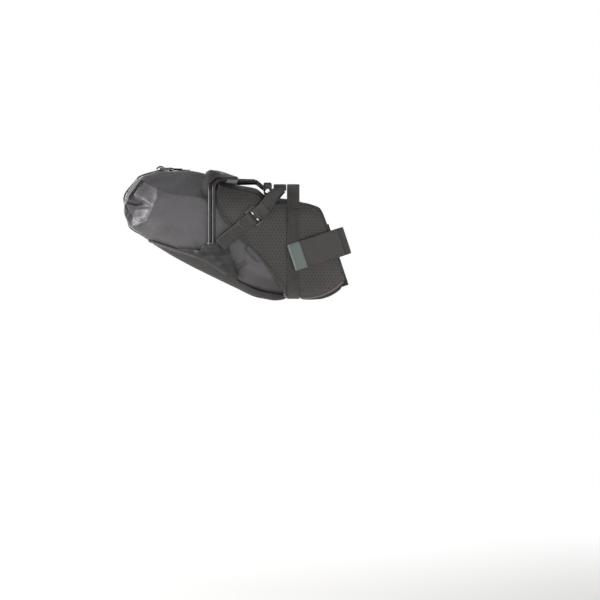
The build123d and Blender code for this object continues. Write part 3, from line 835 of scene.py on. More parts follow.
def sew():
    """Makes the noted lines of stitches, one piece for each body and thread."""
    tree = stitch_tree()
    sizes = Parts.sizes
    values = {"Pitch": sizes.stitch_pitch, "Length": sizes.stitch_length, "Thread": sizes.thread}
    for (body, thread), lines in Parts.stitches.items():
        mesh = bpy.data.meshes.new("lines")
        points, edges = [], []
        for line in lines:
            start = len(points)
            points += [tuple(p * MM) for p in line]
            edges += [(start + i, start + i + 1) for i in range(len(line) - 1)]
        mesh.from_pydata(points, edges, [])
        values["Material"] = Parts.materials[thread]
        obj = grown(linked("lines", mesh), tree, values, f"{body}_{thread}")
        shade_smooth(obj.data)
        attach(obj, body)


# ---- materials ---------------------------------------------------------------------------------


def linear(code):
    """Linear colour of a hex code."""
    values = [int(code[i : i + 2], 16) / 255 for i in (1, 3, 5)]
    return tuple(v / 12.92 if v <= 0.04045 else ((v + 0.055) / 1.055) ** 2.4 for v in values)


class Finish:
    """One procedural material, with its patterns in millimetres on the piece's own cloth map or its place."""

    def __init__(self, name, colour, roughness, mapped=True, **sockets):
        self.material = bpy.data.materials.new(name)
        self.material.use_nodes = True
        self.tree = self.material.node_tree
        self.tree.nodes.clear()
        self.shader = self.node("ShaderNodeBsdfPrincipled", {"Roughness": roughness})
        for key, value in sockets.items():
            self.shader.inputs[key.replace("_", " ")].default_value = value
        self.out = self.node("ShaderNodeOutputMaterial")
        self.tree.links.new(self.shader.outputs[0], self.out.inputs["Surface"])
        self.colour = (*colour, 1.0)
        self.shader.inputs["Base Color"].default_value = self.colour
        where = self.node("ShaderNodeTexCoord").outputs["Object"]
        if mapped:
            where = self.node("ShaderNodeUVMap", uv_map="Cloth").outputs[0]
        self.where = self.node(
            "ShaderNodeVectorMath", {0: where, "Scale": 1000.0}, operation="SCALE"
        ).outputs[0]
        solid = self.node("ShaderNodeTexCoord").outputs["Object"]
        self.solid = self.node(
            "ShaderNodeVectorMath", {0: solid, "Scale": 1000.0}, operation="SCALE"
        ).outputs[0]
        apart = self.node("ShaderNodeSeparateXYZ", {0: self.where})
        self.u, self.v, self.w = apart.outputs[0], apart.outputs[1], apart.outputs[2]
        self.relief = None

    def node(self, kind, inputs=(), **settings):
        """Adds a node to the material's tree."""
        return add(self.tree, kind, inputs, **settings)

    def maths(self, operation, a, b=0.0, c=0.0):
        """Result of one operation on up to three values."""
        return self.node("ShaderNodeMath", {0: a, 1: b, 2: c}, operation=operation).outputs[0]

    def noise(self, size, detail=3.0, solid=True, stretch=None):
        """Soft uneven field whose spots are about size across, from 0 to 1."""
        where = self.solid if solid else self.where
        if stretch:
            where = self.node(
                "ShaderNodeVectorMath", {0: where, 1: stretch}, operation="MULTIPLY"
            ).outputs[0]
        inputs = {"Vector": where, "Scale": 1.0 / size, "Detail": detail, "Roughness": 0.55}
        return self.node("ShaderNodeTexNoise", inputs).outputs[0]

    def ramp(self, value, low, high, a=0.0, b=1.0):
        """Value from low to high, spread over a to b."""
        inputs = {"Value": value, "From Min": low, "From Max": high, "To Min": a, "To Max": b}
        return self.node("ShaderNodeMapRange", inputs).outputs[0]

    def wave(self, along, pitch):
        """Even ribs of a pitch along one direction, from 0 to 1."""
        turns = self.maths("MULTIPLY", along, 2 * math.pi / pitch)
        return self.maths("MULTIPLY_ADD", self.maths("SINE", turns), 0.5, 0.5)

    def plain_weave(self, pitch):
        """Over-and-under threads of a plain weave, drawn coarser than real cloth so that they show."""
        over = self.maths("SINE", self.maths("MULTIPLY", self.u, math.pi / pitch))
        under = self.maths("SINE", self.maths("MULTIPLY", self.v, math.pi / pitch))
        return self.maths("MULTIPLY_ADD", self.maths("MULTIPLY", over, under), 0.5, 0.5)

    def bump(self, height, depth):
        """Relief of a depth in millimetres, over what is already there."""
        inputs = {"Height": height, "Distance": depth * MM}
        if self.relief:
            inputs["Normal"] = self.relief
        self.relief = self.node("ShaderNodeBump", inputs).outputs[0]
        self.tree.links.new(self.relief, self.shader.inputs["Normal"])
        return self

    def tint(self, factor, darker, lighter):
        """Colour that runs from a darker to a lighter share of the base colour."""
        base = self.colour[:3]
        ends = [tuple(min(c * s, 1.0) for c in base) + (1.0,) for s in (darker, lighter)]
        mix = self.node("ShaderNodeMix", {"Factor": factor, 6: ends[0], 7: ends[1]}, data_type="RGBA")
        self.tree.links.new(mix.outputs[2], self.shader.inputs["Base Color"])
        return self

    def gloss(self, factor, low, high):
        """Roughness that runs from low to high."""
        self.tree.links.new(self.ramp(factor, 0.3, 0.7, low, high), self.shader.inputs["Roughness"])
        return self


def make_materials(colours):
    """Every material of the bag. Each is named for what it is and how it is made."""
    made = {}

    # Perforated laminate: a dark knitted face whose small pits give the side panels their dimpled look
    m = Finish(
        "Side panel, perforated knit laminate",
        colours.laminate,
        0.62,
        Sheen_Weight=0.08,
        Specular_IOR_Level=0.15,
    )
    grain = m.noise(26.0, 3.0)
    m.tint(m.maths("MULTIPLY_ADD", m.plain_weave(0.9), 0.25, grain), 0.78, 1.2)
    m.bump(m.plain_weave(0.9), 0.12).bump(m.noise(9.0), 0.5)
    made["laminate"] = m.gloss(grain, 0.56, 0.68).material

    # Coarse packcloth on the base and top: a plain weave with a slightly uneven shine
    m = Finish("Base and top, coated nylon packcloth", colours.packcloth, 0.58, Specular_IOR_Level=0.18)
    grain = m.noise(18.0, 4.0)
    m.tint(m.maths("MULTIPLY_ADD", m.plain_weave(0.8), 0.35, grain), 0.75, 1.25)
    m.bump(m.plain_weave(0.8), 0.15).bump(m.noise(14.0), 0.6)
    made["packcloth"] = m.gloss(grain, 0.5, 0.66).material

    # Welded dry-bag cloth: matt film over a faint weave, with soft creases and a satin sheen
    m = Finish(
        "Dry bag, film-coated polyester", colours.dry_cloth, 0.42, mapped=False, Specular_IOR_Level=0.32
    )
    grain = m.noise(30.0, 4.0)
    m.tint(grain, 0.82, 1.14).bump(m.noise(16.0, 4.0, stretch=(1.0, 1.0, 0.6)), 0.9)
    weave = m.maths("MULTIPLY", m.wave(m.u, 1.1), m.wave(m.w, 1.1))
    m.bump(weave, 0.04).bump(m.noise(1.6, 2.0), 0.05)
    made["dry_cloth"] = m.gloss(m.noise(12.0), 0.4, 0.5).material

    # The same cloth where it is rolled: finer creases along the roll, and painted light, its colour lifted up
    # to 1.4 times lighter for the light that the roll catches
    m = Finish("Closure roll, film-coated polyester with painted light", colours.dry_cloth, 0.42, Specular_IOR_Level=0.5)
    # Painted light: this tint only lightens the dry bag's colour, for the light on the roll
    m.tint(m.noise(12.0), 1.0, 1.4).bump(m.noise(7.0, 3.0, stretch=(1.0, 0.3, 1.0)), 0.7)
    made["roll_cloth_painted_light"] = m.bump(m.plain_weave(1.1), 0.04).gloss(m.noise(9.0), 0.4, 0.54).material

    # Wing cloth: softer and darker coated cloth with many small folds
    m = Finish("Wing, folded coated nylon", colours.wing, 0.52, mapped=False, Specular_IOR_Level=0.22)
    m.tint(m.noise(12.0, 4.0), 0.75, 1.3).bump(m.noise(11.0, 4.0, stretch=(1.0, 1.0, 1.6)), 1.6)
    made["wing"] = m.bump(m.noise(3.0, 3.0), 0.25).gloss(m.noise(8.0), 0.42, 0.62).material

    # Load webbing: ribs across it that waver in narrow columns, and a dull nylon shine
    m = Finish(
        "Straps, ribbed nylon webbing", colours.webbing, 0.6, Specular_IOR_Level=0.15, Sheen_Weight=0.1
    )
    rib = m.maths("MULTIPLY_ADD", m.wave(m.v, 1.7), 2.0, m.u)
    ribs = m.wave(rib, 1.5)
    m.tint(m.maths("MULTIPLY_ADD", ribs, 0.4, m.noise(10.0)), 0.72, 1.3)
    made["webbing"] = m.bump(ribs, 0.28).bump(m.noise(1.2, 2.0), 0.06).material

    # Binding tape: fine ribs across a soft, dull tape of uneven shade
    m = Finish("Bindings, grosgrain tape", colours.binding, 0.64, Sheen_Weight=0.12, Specular_IOR_Level=0.15)
    ribs = m.wave(m.u, 0.9)
    m.tint(m.maths("MULTIPLY_ADD", ribs, 0.35, m.noise(7.0)), 0.75, 1.3)
    made["binding"] = m.bump(ribs, 0.16).material

    # Chin piping: the same tape in a lighter grey, so that the lower front edge reads as a line
    m = Finish("Chin piping, grosgrain tape", colours.piping, 0.6, Sheen_Weight=0.15, Specular_IOR_Level=0.2)
    ribs = m.wave(m.u, 0.9)
    m.tint(m.maths("MULTIPLY_ADD", ribs, 0.35, m.noise(7.0)), 0.8, 1.25)
    made["piping"] = m.bump(ribs, 0.16).material

    # Post strap: smooth coated cloth, through which a fine weave just shows
    m = Finish("Post strap, coated cloth over webbing", colours.strap_cloth, 0.55, Specular_IOR_Level=0.18)
    m.tint(m.noise(22.0, 3.0), 0.88, 1.14).bump(m.noise(10.0), 0.35)
    made["strap_cloth"] = m.bump(m.plain_weave(0.6), 0.06).gloss(m.noise(16.0), 0.5, 0.6).material

    # Pull tab: grey-green woven tape whose light and dark yarns show as a fleck
    m = Finish("Pull tab, two-tone woven tape", colours.tab, 0.66, Sheen_Weight=0.15, Specular_IOR_Level=0.2)
    fleck = m.noise(1.3, 2.0, solid=False, stretch=(0.35, 1.0, 1.0))
    m.tint(m.maths("MULTIPLY_ADD", m.plain_weave(1.0), 0.3, fleck), 0.55, 1.35)
    made["tab"] = m.bump(m.plain_weave(1.0), 0.18).material

    # Sleeves: grey heather cloth, mottled thread by thread
    m = Finish(
        "Arm sleeves, grey heather cloth", colours.heather, 0.7, Sheen_Weight=0.15, Specular_IOR_Level=0.12
    )
    fleck = m.noise(0.9, 2.0, solid=False, stretch=(0.4, 1.0, 1.0))
    made["heather"] = m.tint(fleck, 0.45, 1.7).bump(m.plain_weave(0.8), 0.16).material

    # Side label: satin-woven ribbon, left bare
    m = Finish(
        "Side label, satin-woven ribbon", colours.label, 0.45, Sheen_Weight=0.1, Specular_IOR_Level=0.25
    )
    made["label"] = m.tint(m.wave(m.u, 0.5), 0.85, 1.15).bump(m.wave(m.u, 0.5), 0.05).material

    # Loop pile: a fuzzy mat of tiny loops
    m = Finish(
        "Loop patch, knitted pile", colours.strap_cloth, 0.9, Sheen_Weight=0.5, Specular_IOR_Level=0.1
    )
    made["loop"] = m.tint(m.noise(0.8, 3.0), 0.6, 1.5).bump(m.noise(0.8, 3.0), 0.5).material

    # Hook tape: rows of moulded hooks
    m = Finish("Hook patch, moulded hooks", colours.strap_cloth, 0.55, Specular_IOR_Level=0.4)
    hooks = m.maths("MULTIPLY", m.wave(m.u, 1.3), m.wave(m.v, 1.0))
    made["hook"] = m.tint(hooks, 0.6, 1.4).bump(hooks, 0.6).material

    # Foam and rubber behind the post strap: small closed cells, and a matt skin with moulded ribs
    m = Finish(
        "Nose block and pad, closed-cell foam", colours.foam, 0.85, mapped=False, Specular_IOR_Level=0.15
    )
    made["foam"] = m.tint(m.noise(1.0, 3.0), 0.7, 1.35).bump(m.noise(1.1, 3.0), 0.25).material
    m = Finish("Grips, moulded rubber", colours.rubber, 0.68, mapped=False, Specular_IOR_Level=0.3)
    rib = m.wave(m.w, 4.0)
    made["rubber"] = m.tint(m.noise(14.0), 0.85, 1.15).bump(rib, 0.5).bump(m.noise(0.7, 2.0), 0.06).material

    # Moulded plastics: fine spark-eroded texture, with a slightly uneven shade and shine
    m = Finish(
        "Ladder buckles, glass-filled nylon", colours.buckle, 0.42, mapped=False, Specular_IOR_Level=0.5
    )
    m.tint(m.noise(6.0), 0.85, 1.2).bump(m.noise(0.35, 2.0), 0.04)
    made["buckle"] = m.gloss(m.noise(5.0), 0.36, 0.5).material
    m = Finish("Frame feet, moulded nylon", colours.buckle, 0.5, mapped=False)
    made["moulded"] = m.tint(m.noise(8.0), 0.85, 1.15).bump(m.noise(0.4, 2.0), 0.05).material

    # Frame tube: gloss black anodised aluminium with fine draw lines and long narrow highlights
    m = Finish(
        "Sway frame, polished black anodised tube", colours.tube, 0.3, Metallic=0.25, Specular_IOR_Level=0.2
    )
    lines = m.noise(0.7, 2.0, solid=False, stretch=(0.03, 1.0, 1.0))
    made["tube"] = m.tint(m.noise(20.0), 0.85, 1.2).bump(lines, 0.012).gloss(lines, 0.24, 0.36).material

    # Clamps and bolts: bead-blasted anodised alloy, and zinc-plated steel
    m = Finish("Rail clamps, bead-blasted black alloy", colours.tube, 0.42, mapped=False, Metallic=0.7)
    m.tint(m.noise(5.0), 0.85, 1.3).bump(m.noise(0.4, 2.0), 0.03)
    made["alloy"] = m.gloss(m.noise(4.0), 0.36, 0.5).material
    m = Finish("Bolts and keepers, bright plated steel", colours.steel, 0.2, mapped=False, Metallic=1.0)
    m.tint(m.noise(2.5), 0.85, 1.05).bump(m.noise(0.8, 2.0), 0.01)
    made["steel"] = m.gloss(m.noise(3.0), 0.16, 0.3).material

    # Threads, and the perforation discs: painted shade of the pits, together with the darker backing mesh
    # seen through them
    for key, name in (("thread", "Thread, bonded nylon"), ("accent", "Thread, yellow-green nylon")):
        m = Finish(name, getattr(colours, key), 0.55, mapped=False, Sheen_Weight=0.2)
        made[key] = m.tint(m.noise(0.5, 1.0), 0.8, 1.2).material
    m = Finish("Perforation, shaded backing mesh", colours.hole, 0.8, mapped=False, Specular_IOR_Level=0.1)
    made["hole"] = m.tint(m.noise(0.6, 1.0), 0.7, 1.3).material

    # Floor: pale matt paint with a very faint unevenness, which fades into the white surroundings
    m = Finish("Floor, pale matt paint", colours.floor, 0.7, mapped=False, Specular_IOR_Level=0.2)
    m.tint(m.noise(220.0, 2.0), 0.985, 1.01)
    away = m.node(
        "ShaderNodeVectorMath", {0: m.solid, 1: (-200.0, 0.0, FLOOR_LEVEL)}, operation="DISTANCE"
    ).outputs["Value"]
    fade = m.ramp(away, 700.0, 2200.0)
    seen = m.node("ShaderNodeLightPath").outputs["Is Camera Ray"]
    white = m.node("ShaderNodeEmission", {"Color": (1, 1, 1, 1), "Strength": 1.0})
    share = m.maths("MULTIPLY", fade, seen)
    mix = m.node("ShaderNodeMixShader", {0: share, 1: m.shader.outputs[0], 2: white.outputs[0]})
    m.tree.links.new(mix.outputs[0], m.out.inputs["Surface"])
    made["floor"] = m.material
    return made


# ---- harness -----------------------------------------------------------------------------------


def seam_turn(x):
    """Where the side panel ends upwards: at the top panel, or at the seat post's pad."""
    x = np.asarray(x, float)
    high = np.where(x > -31, 1.0, turn_at(HARNESS, x, line_at(SIDE_HIGH, x)))
    turns = np.linspace(0, 1, 500)
    points = around(HARNESS, x[:, None], turns[None])
    ahead = points[..., 0] * math.cos(LEAN) + points[..., 2] * math.sin(LEAN)
    inside = (ahead > -0.3) | (ahead**2 + points[..., 1] ** 2 < POST_ROOM**2)
    inside &= turns[None] > turn_under(HARNESS, x, CHIN_HALF_WIDTH)[:, None] + 0.01
    first = np.where(inside.any(1), turns[np.argmax(inside, 1)] - 0.004, 1.0)
    return np.minimum(high, first)


def low_turn(x):
    """Where the side panel ends downwards: at its diagonal edge, or at the base's chin."""
    x = np.asarray(x, float)
    edge = turn_at(HARNESS, x, line_at(SIDE_LOW, x))
    chin = turn_under(HARNESS, x, CHIN_HALF_WIDTH)
    share = ease(x, CHIN_REAR - 2, CHIN_REAR + 5)
    return edge * (1 - share) + chin * share


def edge_path(x, turn, inset, grow):
    """Points and directions along a panel's edge, set in from it by a distance."""
    girths = around(HARNESS, x[:, None], np.linspace(0, 1, 60)[None])
    whole = np.linalg.norm(np.diff(girths, axis=1), axis=2).sum(1)
    turn = turn + inset / whole
    return around(HARNESS, x, turn, grow), facing(HARNESS, x, turn, grow)


def on_side(line, grow, shift=0.0, step=2.0):
    """A side-view line laid on the harness, moved to its left by a shift."""
    line = along(line, step)
    line = line + beside(line) * shift
    turn = turn_at(HARNESS, line[:, 0], line[:, 1], grow)
    return around(HARNESS, line[:, 0], turn, grow), facing(HARNESS, line[:, 0], turn, grow)


def dimpled(points, out, depth, size, seed):
    """Points moved inwards by an uneven depth."""
    return points - out * ((0.5 + 0.5 * ripple(points, size, seed)) * depth)[..., None]


def perforate(outer):
    """Dark discs of painted pit shade on both side panels, on a grid of points of the left one's outer face.
    """
    tree = hole_tree()
    sizes = Parts.sizes
    values = {"Pitch": sizes.hole_pitch, "Radius": sizes.hole_radius, "Material": Parts.materials["hole"]}
    for name, sign in (("left", 1.0), ("right", -1.0)):
        inner = outer[5:-5, 4:-4] * (1, sign, 1)
        target = piece("target", inner, grid_faces(*inner.shape[:2]))
        if sign * np.mean([face.normal.y for face in target.data.polygons]) < 0:
            target.data.flip_normals()
        holes = grown(target, tree, {**values, "Side": sign}, "perforation_" + name)
        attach(holes, "harness")


def bind(name, line, width, thickness, nodes=(), material="binding"):
    """Tape on both sides of the harness, along a line of points and their outward directions."""
    place_pair(ribbon(name, *line, width, thickness), name, "harness", material, nodes)


def side_panels():
    """Perforated side panels with their bindings, label and stitches."""
    rear, front = np.linspace(-231.9, -222, 14), np.linspace(10, 18.9, 12)
    x = np.concatenate([rear[:-1], np.linspace(-222, 10, 118)[:-1], front])
    share = np.linspace(0, 1, 64)[None]
    turn = low_turn(x)[:, None] * (1 - share) + seam_turn(x)[:, None] * share
    grid, out = around(HARNESS, x[:, None], turn), facing(HARNESS, x[:, None], turn)
    outer = dimpled(grid, out, PANEL_DIMPLES, 38.0, 3)
    side = shell("side_panel", outer, outer - out * PANEL_CLOTH)
    place_pair(side, "side_panel_cloth", "harness", "laminate", ["side_panel"])
    perforate(outer)

    bind("diagonal_binding_tape", on_side(SIDE_LOW[3:], 0.9, 2.6), 6.0, TAPE, ["diagonal_binding"])
    for across in (0.8, 4.6):
        stitch_sides(on_side(SIDE_LOW[3:], 1.75, across)[0])
    x = np.linspace(-84, 17.5, 80)
    bind("front_binding_tape", edge_path(x, seam_turn(x), -2.6, 0.9), 6.0, TAPE, ["front_binding"])
    stitch_sides(edge_path(x, seam_turn(x), -4.7, 1.75)[0])
    x = np.linspace(-226, -84, 70)
    for inset in (-2.5, -5.5):
        stitch_sides(edge_path(x, seam_turn(x), inset, 0.1)[0])
    x = np.linspace(CHIN_REAR, 16.5, 60)
    bind("chin_piping", edge_path(x, low_turn(x), 0.5, 0.9), 4.0, 1.6, material="piping")
    x, z = along(REAR_EDGE, 2.0).T
    turn = turn_at(HARNESS, x, z)
    bind("rear_binding", (around(HARNESS, x, turn, 0.7), facing(HARNESS, x, turn)), 5.0, TAPE)

    path, facing_out = on_side(LABEL, 2.6, -4.6, 1.0)
    label = ribbon("side_label_cloth", path * (1, -1, 1), facing_out * (1, -1, 1), 9.6, 0.9)
    place(label, "harness", "label", ["side_label"])
    for across in (-8.6, -0.8):
        stitch(on_side(LABEL, 3.15, across)[0] * (1, -1, 1))


def middle_panel(name, x, w, turn, thickness, nodes=(), dimples=0.0):
    """Packcloth panel across the harness, w running from -1 at its right edge to 1 at its left."""
    sign = np.where(w < 0, -1.0, 1.0)[..., None] * (0, 1, 0) + (1, 0, 1)
    out = facing(HARNESS, x, turn)
    outer = dimpled(around(HARNESS, x, turn), out, dimples, 45.0, 8)
    panel = shell(name, outer * sign, (outer - out * thickness) * sign)
    place(panel, "harness", "packcloth", nodes)


def top_and_base():
    """Top panel under the saddle, and the stiff base with its chin and its stitched rim."""
    w = np.linspace(-1, 1, 57)[None]
    rows = np.linspace(0, 1, 100)[:, None]
    end = -47 + 18 * np.minimum(1, np.abs(w) / 0.62) ** 2
    x = TOP_REAR + (end - TOP_REAR) * rows
    seam = seam_turn(np.minimum(x, -31.5).ravel()).reshape(x.shape)
    turn = 1 - np.abs(w) * (1 - seam)
    middle_panel("top_panel_cloth", x, w, turn, PANEL_CLOTH, ["top_panel"], PANEL_DIMPLES)

    x = np.broadcast_to(BASE_REAR + (CHIN_REAR - BASE_REAR) * rows, (100, 57))
    turn = np.abs(w) * turn_at(HARNESS, x, line_at(BASE_EDGE, x))
    middle_panel("base_panel_cloth", x, w, turn, BASE_CLOTH, ["base_panel"])
    end = np.minimum(10.0 + 9.5 * np.abs(w) ** 2, 18.6)
    x = CHIN_REAR + (end - CHIN_REAR) * np.linspace(0, 1, 60)[:, None]
    turn = np.abs(w) * turn_under(HARNESS, x, CHIN_HALF_WIDTH)
    middle_panel("chin_cloth", x, w, turn, BASE_CLOTH)

    x, z = along([p for p in BASE_EDGE if p[0] < -196.0], 2.0).T
    turn = turn_at(HARNESS, x, z)
    bind("base_rim_tape", edge_path(x, turn, -3.6, 0.9), 7.6, 1.6, ["base_rim"])
    for drop in (1.0, 6.2):
        stitch_sides(edge_path(x, turn, -drop, 1.8)[0])
    w = np.linspace(-1, 1, 40)
    turn = np.abs(w) * turn_at(HARNESS, -366.0, 4.6)
    for x in (-366.0, -360.0):
        stitch(around(HARNESS, x, turn, 0.25) * np.stack([np.ones(40), np.sign(w), np.ones(40)], -1))


def wings():
    """Folded wing on each side, which carries the base up to the load strap and pockets the frame's foot."""
    x = np.linspace(-312.6, -192.4, 90)[:, None]
    share = np.linspace(0, 1, 44)[None]
    low = line_at(WING_LOW, x)
    high = np.maximum(line_at(WING_HIGH, x), low + 0.5)
    z = low * (1 - share) + high * share
    pocket = between(x, -279, -267, -229, -214) * ease(z, -26, -13)
    loose = np.minimum(ease(share, 0, 0.1), 1 - 0.7 * ease(share, 0.9, 1.0))
    loose = loose * between(x, -313, -300, -204, -192)
    folds = 1.5 * ripple(np.stack(np.broadcast_arrays(x, 0 * x, z * 1.9), -1), 20.0, 11) * loose
    inner = 2.05 + POCKET_DEPTH * pocket
    outer = inner + 1.0 + 1.1 * loose + np.maximum(folds, -0.7)
    turn = turn_at(HARNESS, x + 0 * z, z, 2.0)
    out = facing(HARNESS, x + 0 * z, turn)
    grid = around(HARNESS, x + 0 * z, turn)
    wing = shell("wing", grid + out * outer[..., None], grid + out * inner[..., None])
    place_pair(wing, "wing_cloth", "harness", "wing", ["wing"])
    seams = (grid + out * (outer + 0.1)[..., None])[4:84]
    for back in (3, 5):
        stitch_sides(seams[:, -back])
        stitch_sides(seams[:, back])


def harness():
    """All panels of the harness, and its wings."""
    side_panels()
    top_and_base()
    wings()


class Strap:
    """A strap's own axes: up it, out from it and across it, from its buckle's anchor bar."""

    def __init__(self, pin, foot, side):
        self.pin = np.asarray(pin)
        self.length = math.dist(pin, foot)
        up = unit(np.subtract(pin, foot))
        out = unit(np.asarray(side, float) - up * np.dot(side, up))
        self.axes = np.stack([up, out, np.cross(up, out)])

    def world(self, points):
        """Points given up, out and across, in the bag's axes."""
        return self.pin + np.asarray(points, float) @ self.axes

    def webbing(self, name, line, width=WEBBING_WIDTH):
        """Webbing along a line of points up and out, with its outer face to the line's left."""
        line = np.asarray(line)[:, :2]
        facing_out = np.insert(beside(line), 2, 0.0, axis=1) @ self.axes
        return ribbon(name, self.world(np.insert(line, 2, 0.0, axis=1)), facing_out, width, WEBBING)

    def anchor(self, name, hem):
        """Webbing from the strap's foot round the buckle's anchor bar, and back as a sewn hem."""
        turn = np.radians(np.linspace(-90, 90, 14))
        ring = [(2.6 * math.cos(a), 2.6 * math.sin(a)) for a in turn]
        under = [(-self.length, -0.9), (-8.0, -0.9), (-4.0, -1.6)]
        line = under + ring + [(-3.5, 2.1), (-7.5, 1.15), (-hem, 1.1)]
        return self.webbing(name, along(line, 0.8, bend=False))

    def fold(self, name, corners):
        """Webbing folded through the buckle, round corners that are given up and out."""
        line = filleted([(*p, 0) for p in corners], 1.5, 0.5)
        return self.webbing(name, along(line, 0.8, bend=False), 24.4)


def box_seam(start, end, level, half):
    """Corners of a rectangle sewn on webbing, in a strap's own axes."""
    corners = [(start, -half), (start, half), (end, half), (end, -half), (start, -half)]
    return [(up, level, across) for up, across in corners]


def straps():
    """Load straps: lower webbing, buckle, folded webbing with its free tail, upper webbing and rail loops."""
    strap = Strap(BUCKLE_PIN, STRAP_FOOT, (0, 1, 0))
    lower = strap.anchor("lower_strap", 27.0)
    place_pair(lower, "lower_strap_webbing", "harness", "webbing", ["lower_strap"])
    hem = box_seam(-25, -9, 2.1, 10)
    foot = box_seam(4 - strap.length, 22 - strap.length, 0.2, 10)
    for line in (hem + hem[2:3], [hem[3], hem[1]], foot):
        stitch_sides(strap.world(along(line, 1.0, bend=False)))

    for side, sign in (("left", 1), ("right", -1)):
        body = "buckle_" + side
        dressed("side_buckle_" + side, body, "buckle", 0.5)
        for k, (start, end) in enumerate(((-10.0, -6.4), (4.6, 10.2))):
            bar = strap.world([(9.0, 0.1, across) for across in np.linspace(start, end, 9)]) * (1, sign, 1)
            place(tube(f"keeper_{side}_{k + 1}", bar, 2.35, 16), body, "steel")

    fold = strap.fold("buckle_webbing", [(22.2, -2.7), (12.5, -2.7), (12.5, 2.7), (24.0, 2.9), (37.0, 5.2)])
    place_pair(fold, "buckle_fold", "buckle_{}", "webbing", ["buckle_webbing"])
    stitch_sides(strap.world([(34.5, 5.9, across) for across in np.linspace(-10.5, 10.5, 12)]), "buckle_{}")

    up, out, _ = strap.axes
    start = strap.world((22.4, -2.6, 0))
    points = [start, start + up * 9] + [p for p, _ in SHOULDER]
    path = along(points, 1.5)
    at = lengths(path) / lengths(path)[-1]
    mid = lengths(points) / lengths(points)[-1]
    outs = np.array([out, out] + [unit(o) for _, o in SHOULDER])
    facing_out = np.stack([np.interp(at, mid, outs[:, k]) for k in range(3)], -1)
    upper = ribbon("upper_strap", path, facing_out, WEBBING_WIDTH, WEBBING)
    place_pair(upper, "upper_strap_webbing", "harness", "webbing", ["upper_strap"])
    rail_loop("strap_loop", -110.0, (31.25, 109.15))
    girth_strap()


def girth_strap():
    """Upright webbing that passes under the bag, with a loop at each saddle rail."""
    end = turn_at(HARNESS, NOTCH_X, GIRTH_TOP, 1.2)
    x = np.full(150, NOTCH_X)
    turn = np.linspace(-1, 1, 150) * end
    sign = np.stack([np.ones(150), np.where(turn < 0, -1, 1), np.ones(150)], -1)
    turn = np.abs(turn)
    path, facing_out = around(HARNESS, x, turn, 1.25) * sign, facing(HARNESS, x, turn) * sign
    girth = ribbon("girth_strap_webbing", path, facing_out, WEBBING_WIDTH, WEBBING)
    place(girth, "harness", "webbing", ["girth_strap"])
    for edge in (-9.5, 9.5):
        line = around(HARNESS, x + edge, turn, 2.2) * sign
        stitch(line[8:60])
        stitch(line[90:-8])
    foot = around(HARNESS, NOTCH_X, end, 1.25)
    rail_loop("girth_loop", NOTCH_X, (foot[1], foot[2] + 0.8))


def rail_loop(name, x, foot):
    """Webbing from a strap's end up to a ring round the saddle rail."""
    turn = np.radians(np.linspace(0, 330, 40))
    ring = np.array(RAIL) + RAIL_LOOP * np.stack([np.cos(turn), np.sin(turn)], -1)
    line = np.concatenate([along([foot, ring[0] - (0, 2)], 1.5, bend=False), ring])
    facing_out = np.insert(-beside(line), 0, 0.0, axis=1)
    loop = ribbon(name, np.insert(line, 0, x, axis=1), facing_out, WEBBING_WIDTH, WEBBING)
    place_pair(loop, name + "_webbing", "harness", "webbing", [name])


# ---- seat post fixing --------------------------------------------------------------------------


def post_ribbon(name, line, width, thickness, outer):
    """Band whose line lies in the post's section, with its outer face left of it, or right if outer is -1."""
    line = along(filleted([(*p, 0) for p in line], 5.0, 1.0), 1.2, bend=False)
    out = np.insert(beside(line), 2, 0.0, axis=1) * outer
    return ribbon(name, post_space(line), post_space(out), width, thickness, 16), (line, out)


def band_edges(band, keep, lift, edges, body):
    """Stitches along a band of the post strap, at distances from its middle."""
    line, out = band
    for edge in edges:
        stitch(post_space(line[keep] + out[keep] * lift + (0, 0, edge)), body)


def band_row(band, at, lift, across, body, thread="thread"):
    """Row of stitches across a band of the post strap, at one point of its line."""
    line, out = band
    stitch(post_space([line[at] + out[at] * lift + (0, 0, edge) for edge in across]), body, thread)


def post_fixing():
    """Wide strap round the seat post, its patches, the flap over it and the pull tab."""
    strap, band = post_ribbon("post_strap_cloth", STRAP_LINE, STRAP_WIDTH, POST_CLOTH, 1)
    place(strap, "harness", "strap_cloth", ["post_strap"])
    band_edges(band, slice(6, len(band[0]) - 8), 1.2, (-24.5, 24.5, -21.5, 21.5), "harness")
    patch, _ = post_ribbon("loop_patch_pile", LOOP_LINE, 51.7, PATCH, -1)
    place(patch, "harness", "loop", ["loop_patch"])
    patch, _ = post_ribbon("hook_patch_tape", HOOK_LINE, 49.5, PATCH, -1)
    place(patch, "strap_flap", "hook", ["hook_patch"])

    flap, band = post_ribbon("strap_flap_cloth", FLAP_LINE, STRAP_WIDTH, POST_CLOTH, -1)
    place(flap, None, "strap_cloth", ["strap_flap"])
    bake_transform(flap)
    band_edges(band, slice(3, -11), 1.2, (-24.6, 24.6), "strap_flap")
    for at in (4, 7, -13):
        band_row(band, at, 1.2, np.linspace(-24, 24, 26), "strap_flap")

    tab, band = post_ribbon("pull_tab_cloth", TAB_LINE, 54.0, 2.0, -1)
    place(tab, "pull_tab", "tab", ["pull_tab"])
    for at, thread in ((2, "accent"), (5, "thread"), (-3, "thread")):
        band_row(band, at, 1.1, np.linspace(-25, 25, 28), "pull_tab", thread)
    band_edges(band, slice(4, -2), 1.1, (-24.6, 24.6), "pull_tab")

    dressed("front_grip", "harness", "rubber", 0.6)
    dressed("post_pad", "harness", "rubber", 0.5)
    foam = dressed("nose_block", "harness", "foam", 0.6)


# ---- sway frame --------------------------------------------------------------------------------


def arm_corner():
    """Upper corner of the left arm, and the point where it turns in towards the rail."""
    return np.array((ARM_X, TUBE_Y, ARM_LEVEL)), np.array((*ARM_BEND_POINT, ARM_LEVEL))


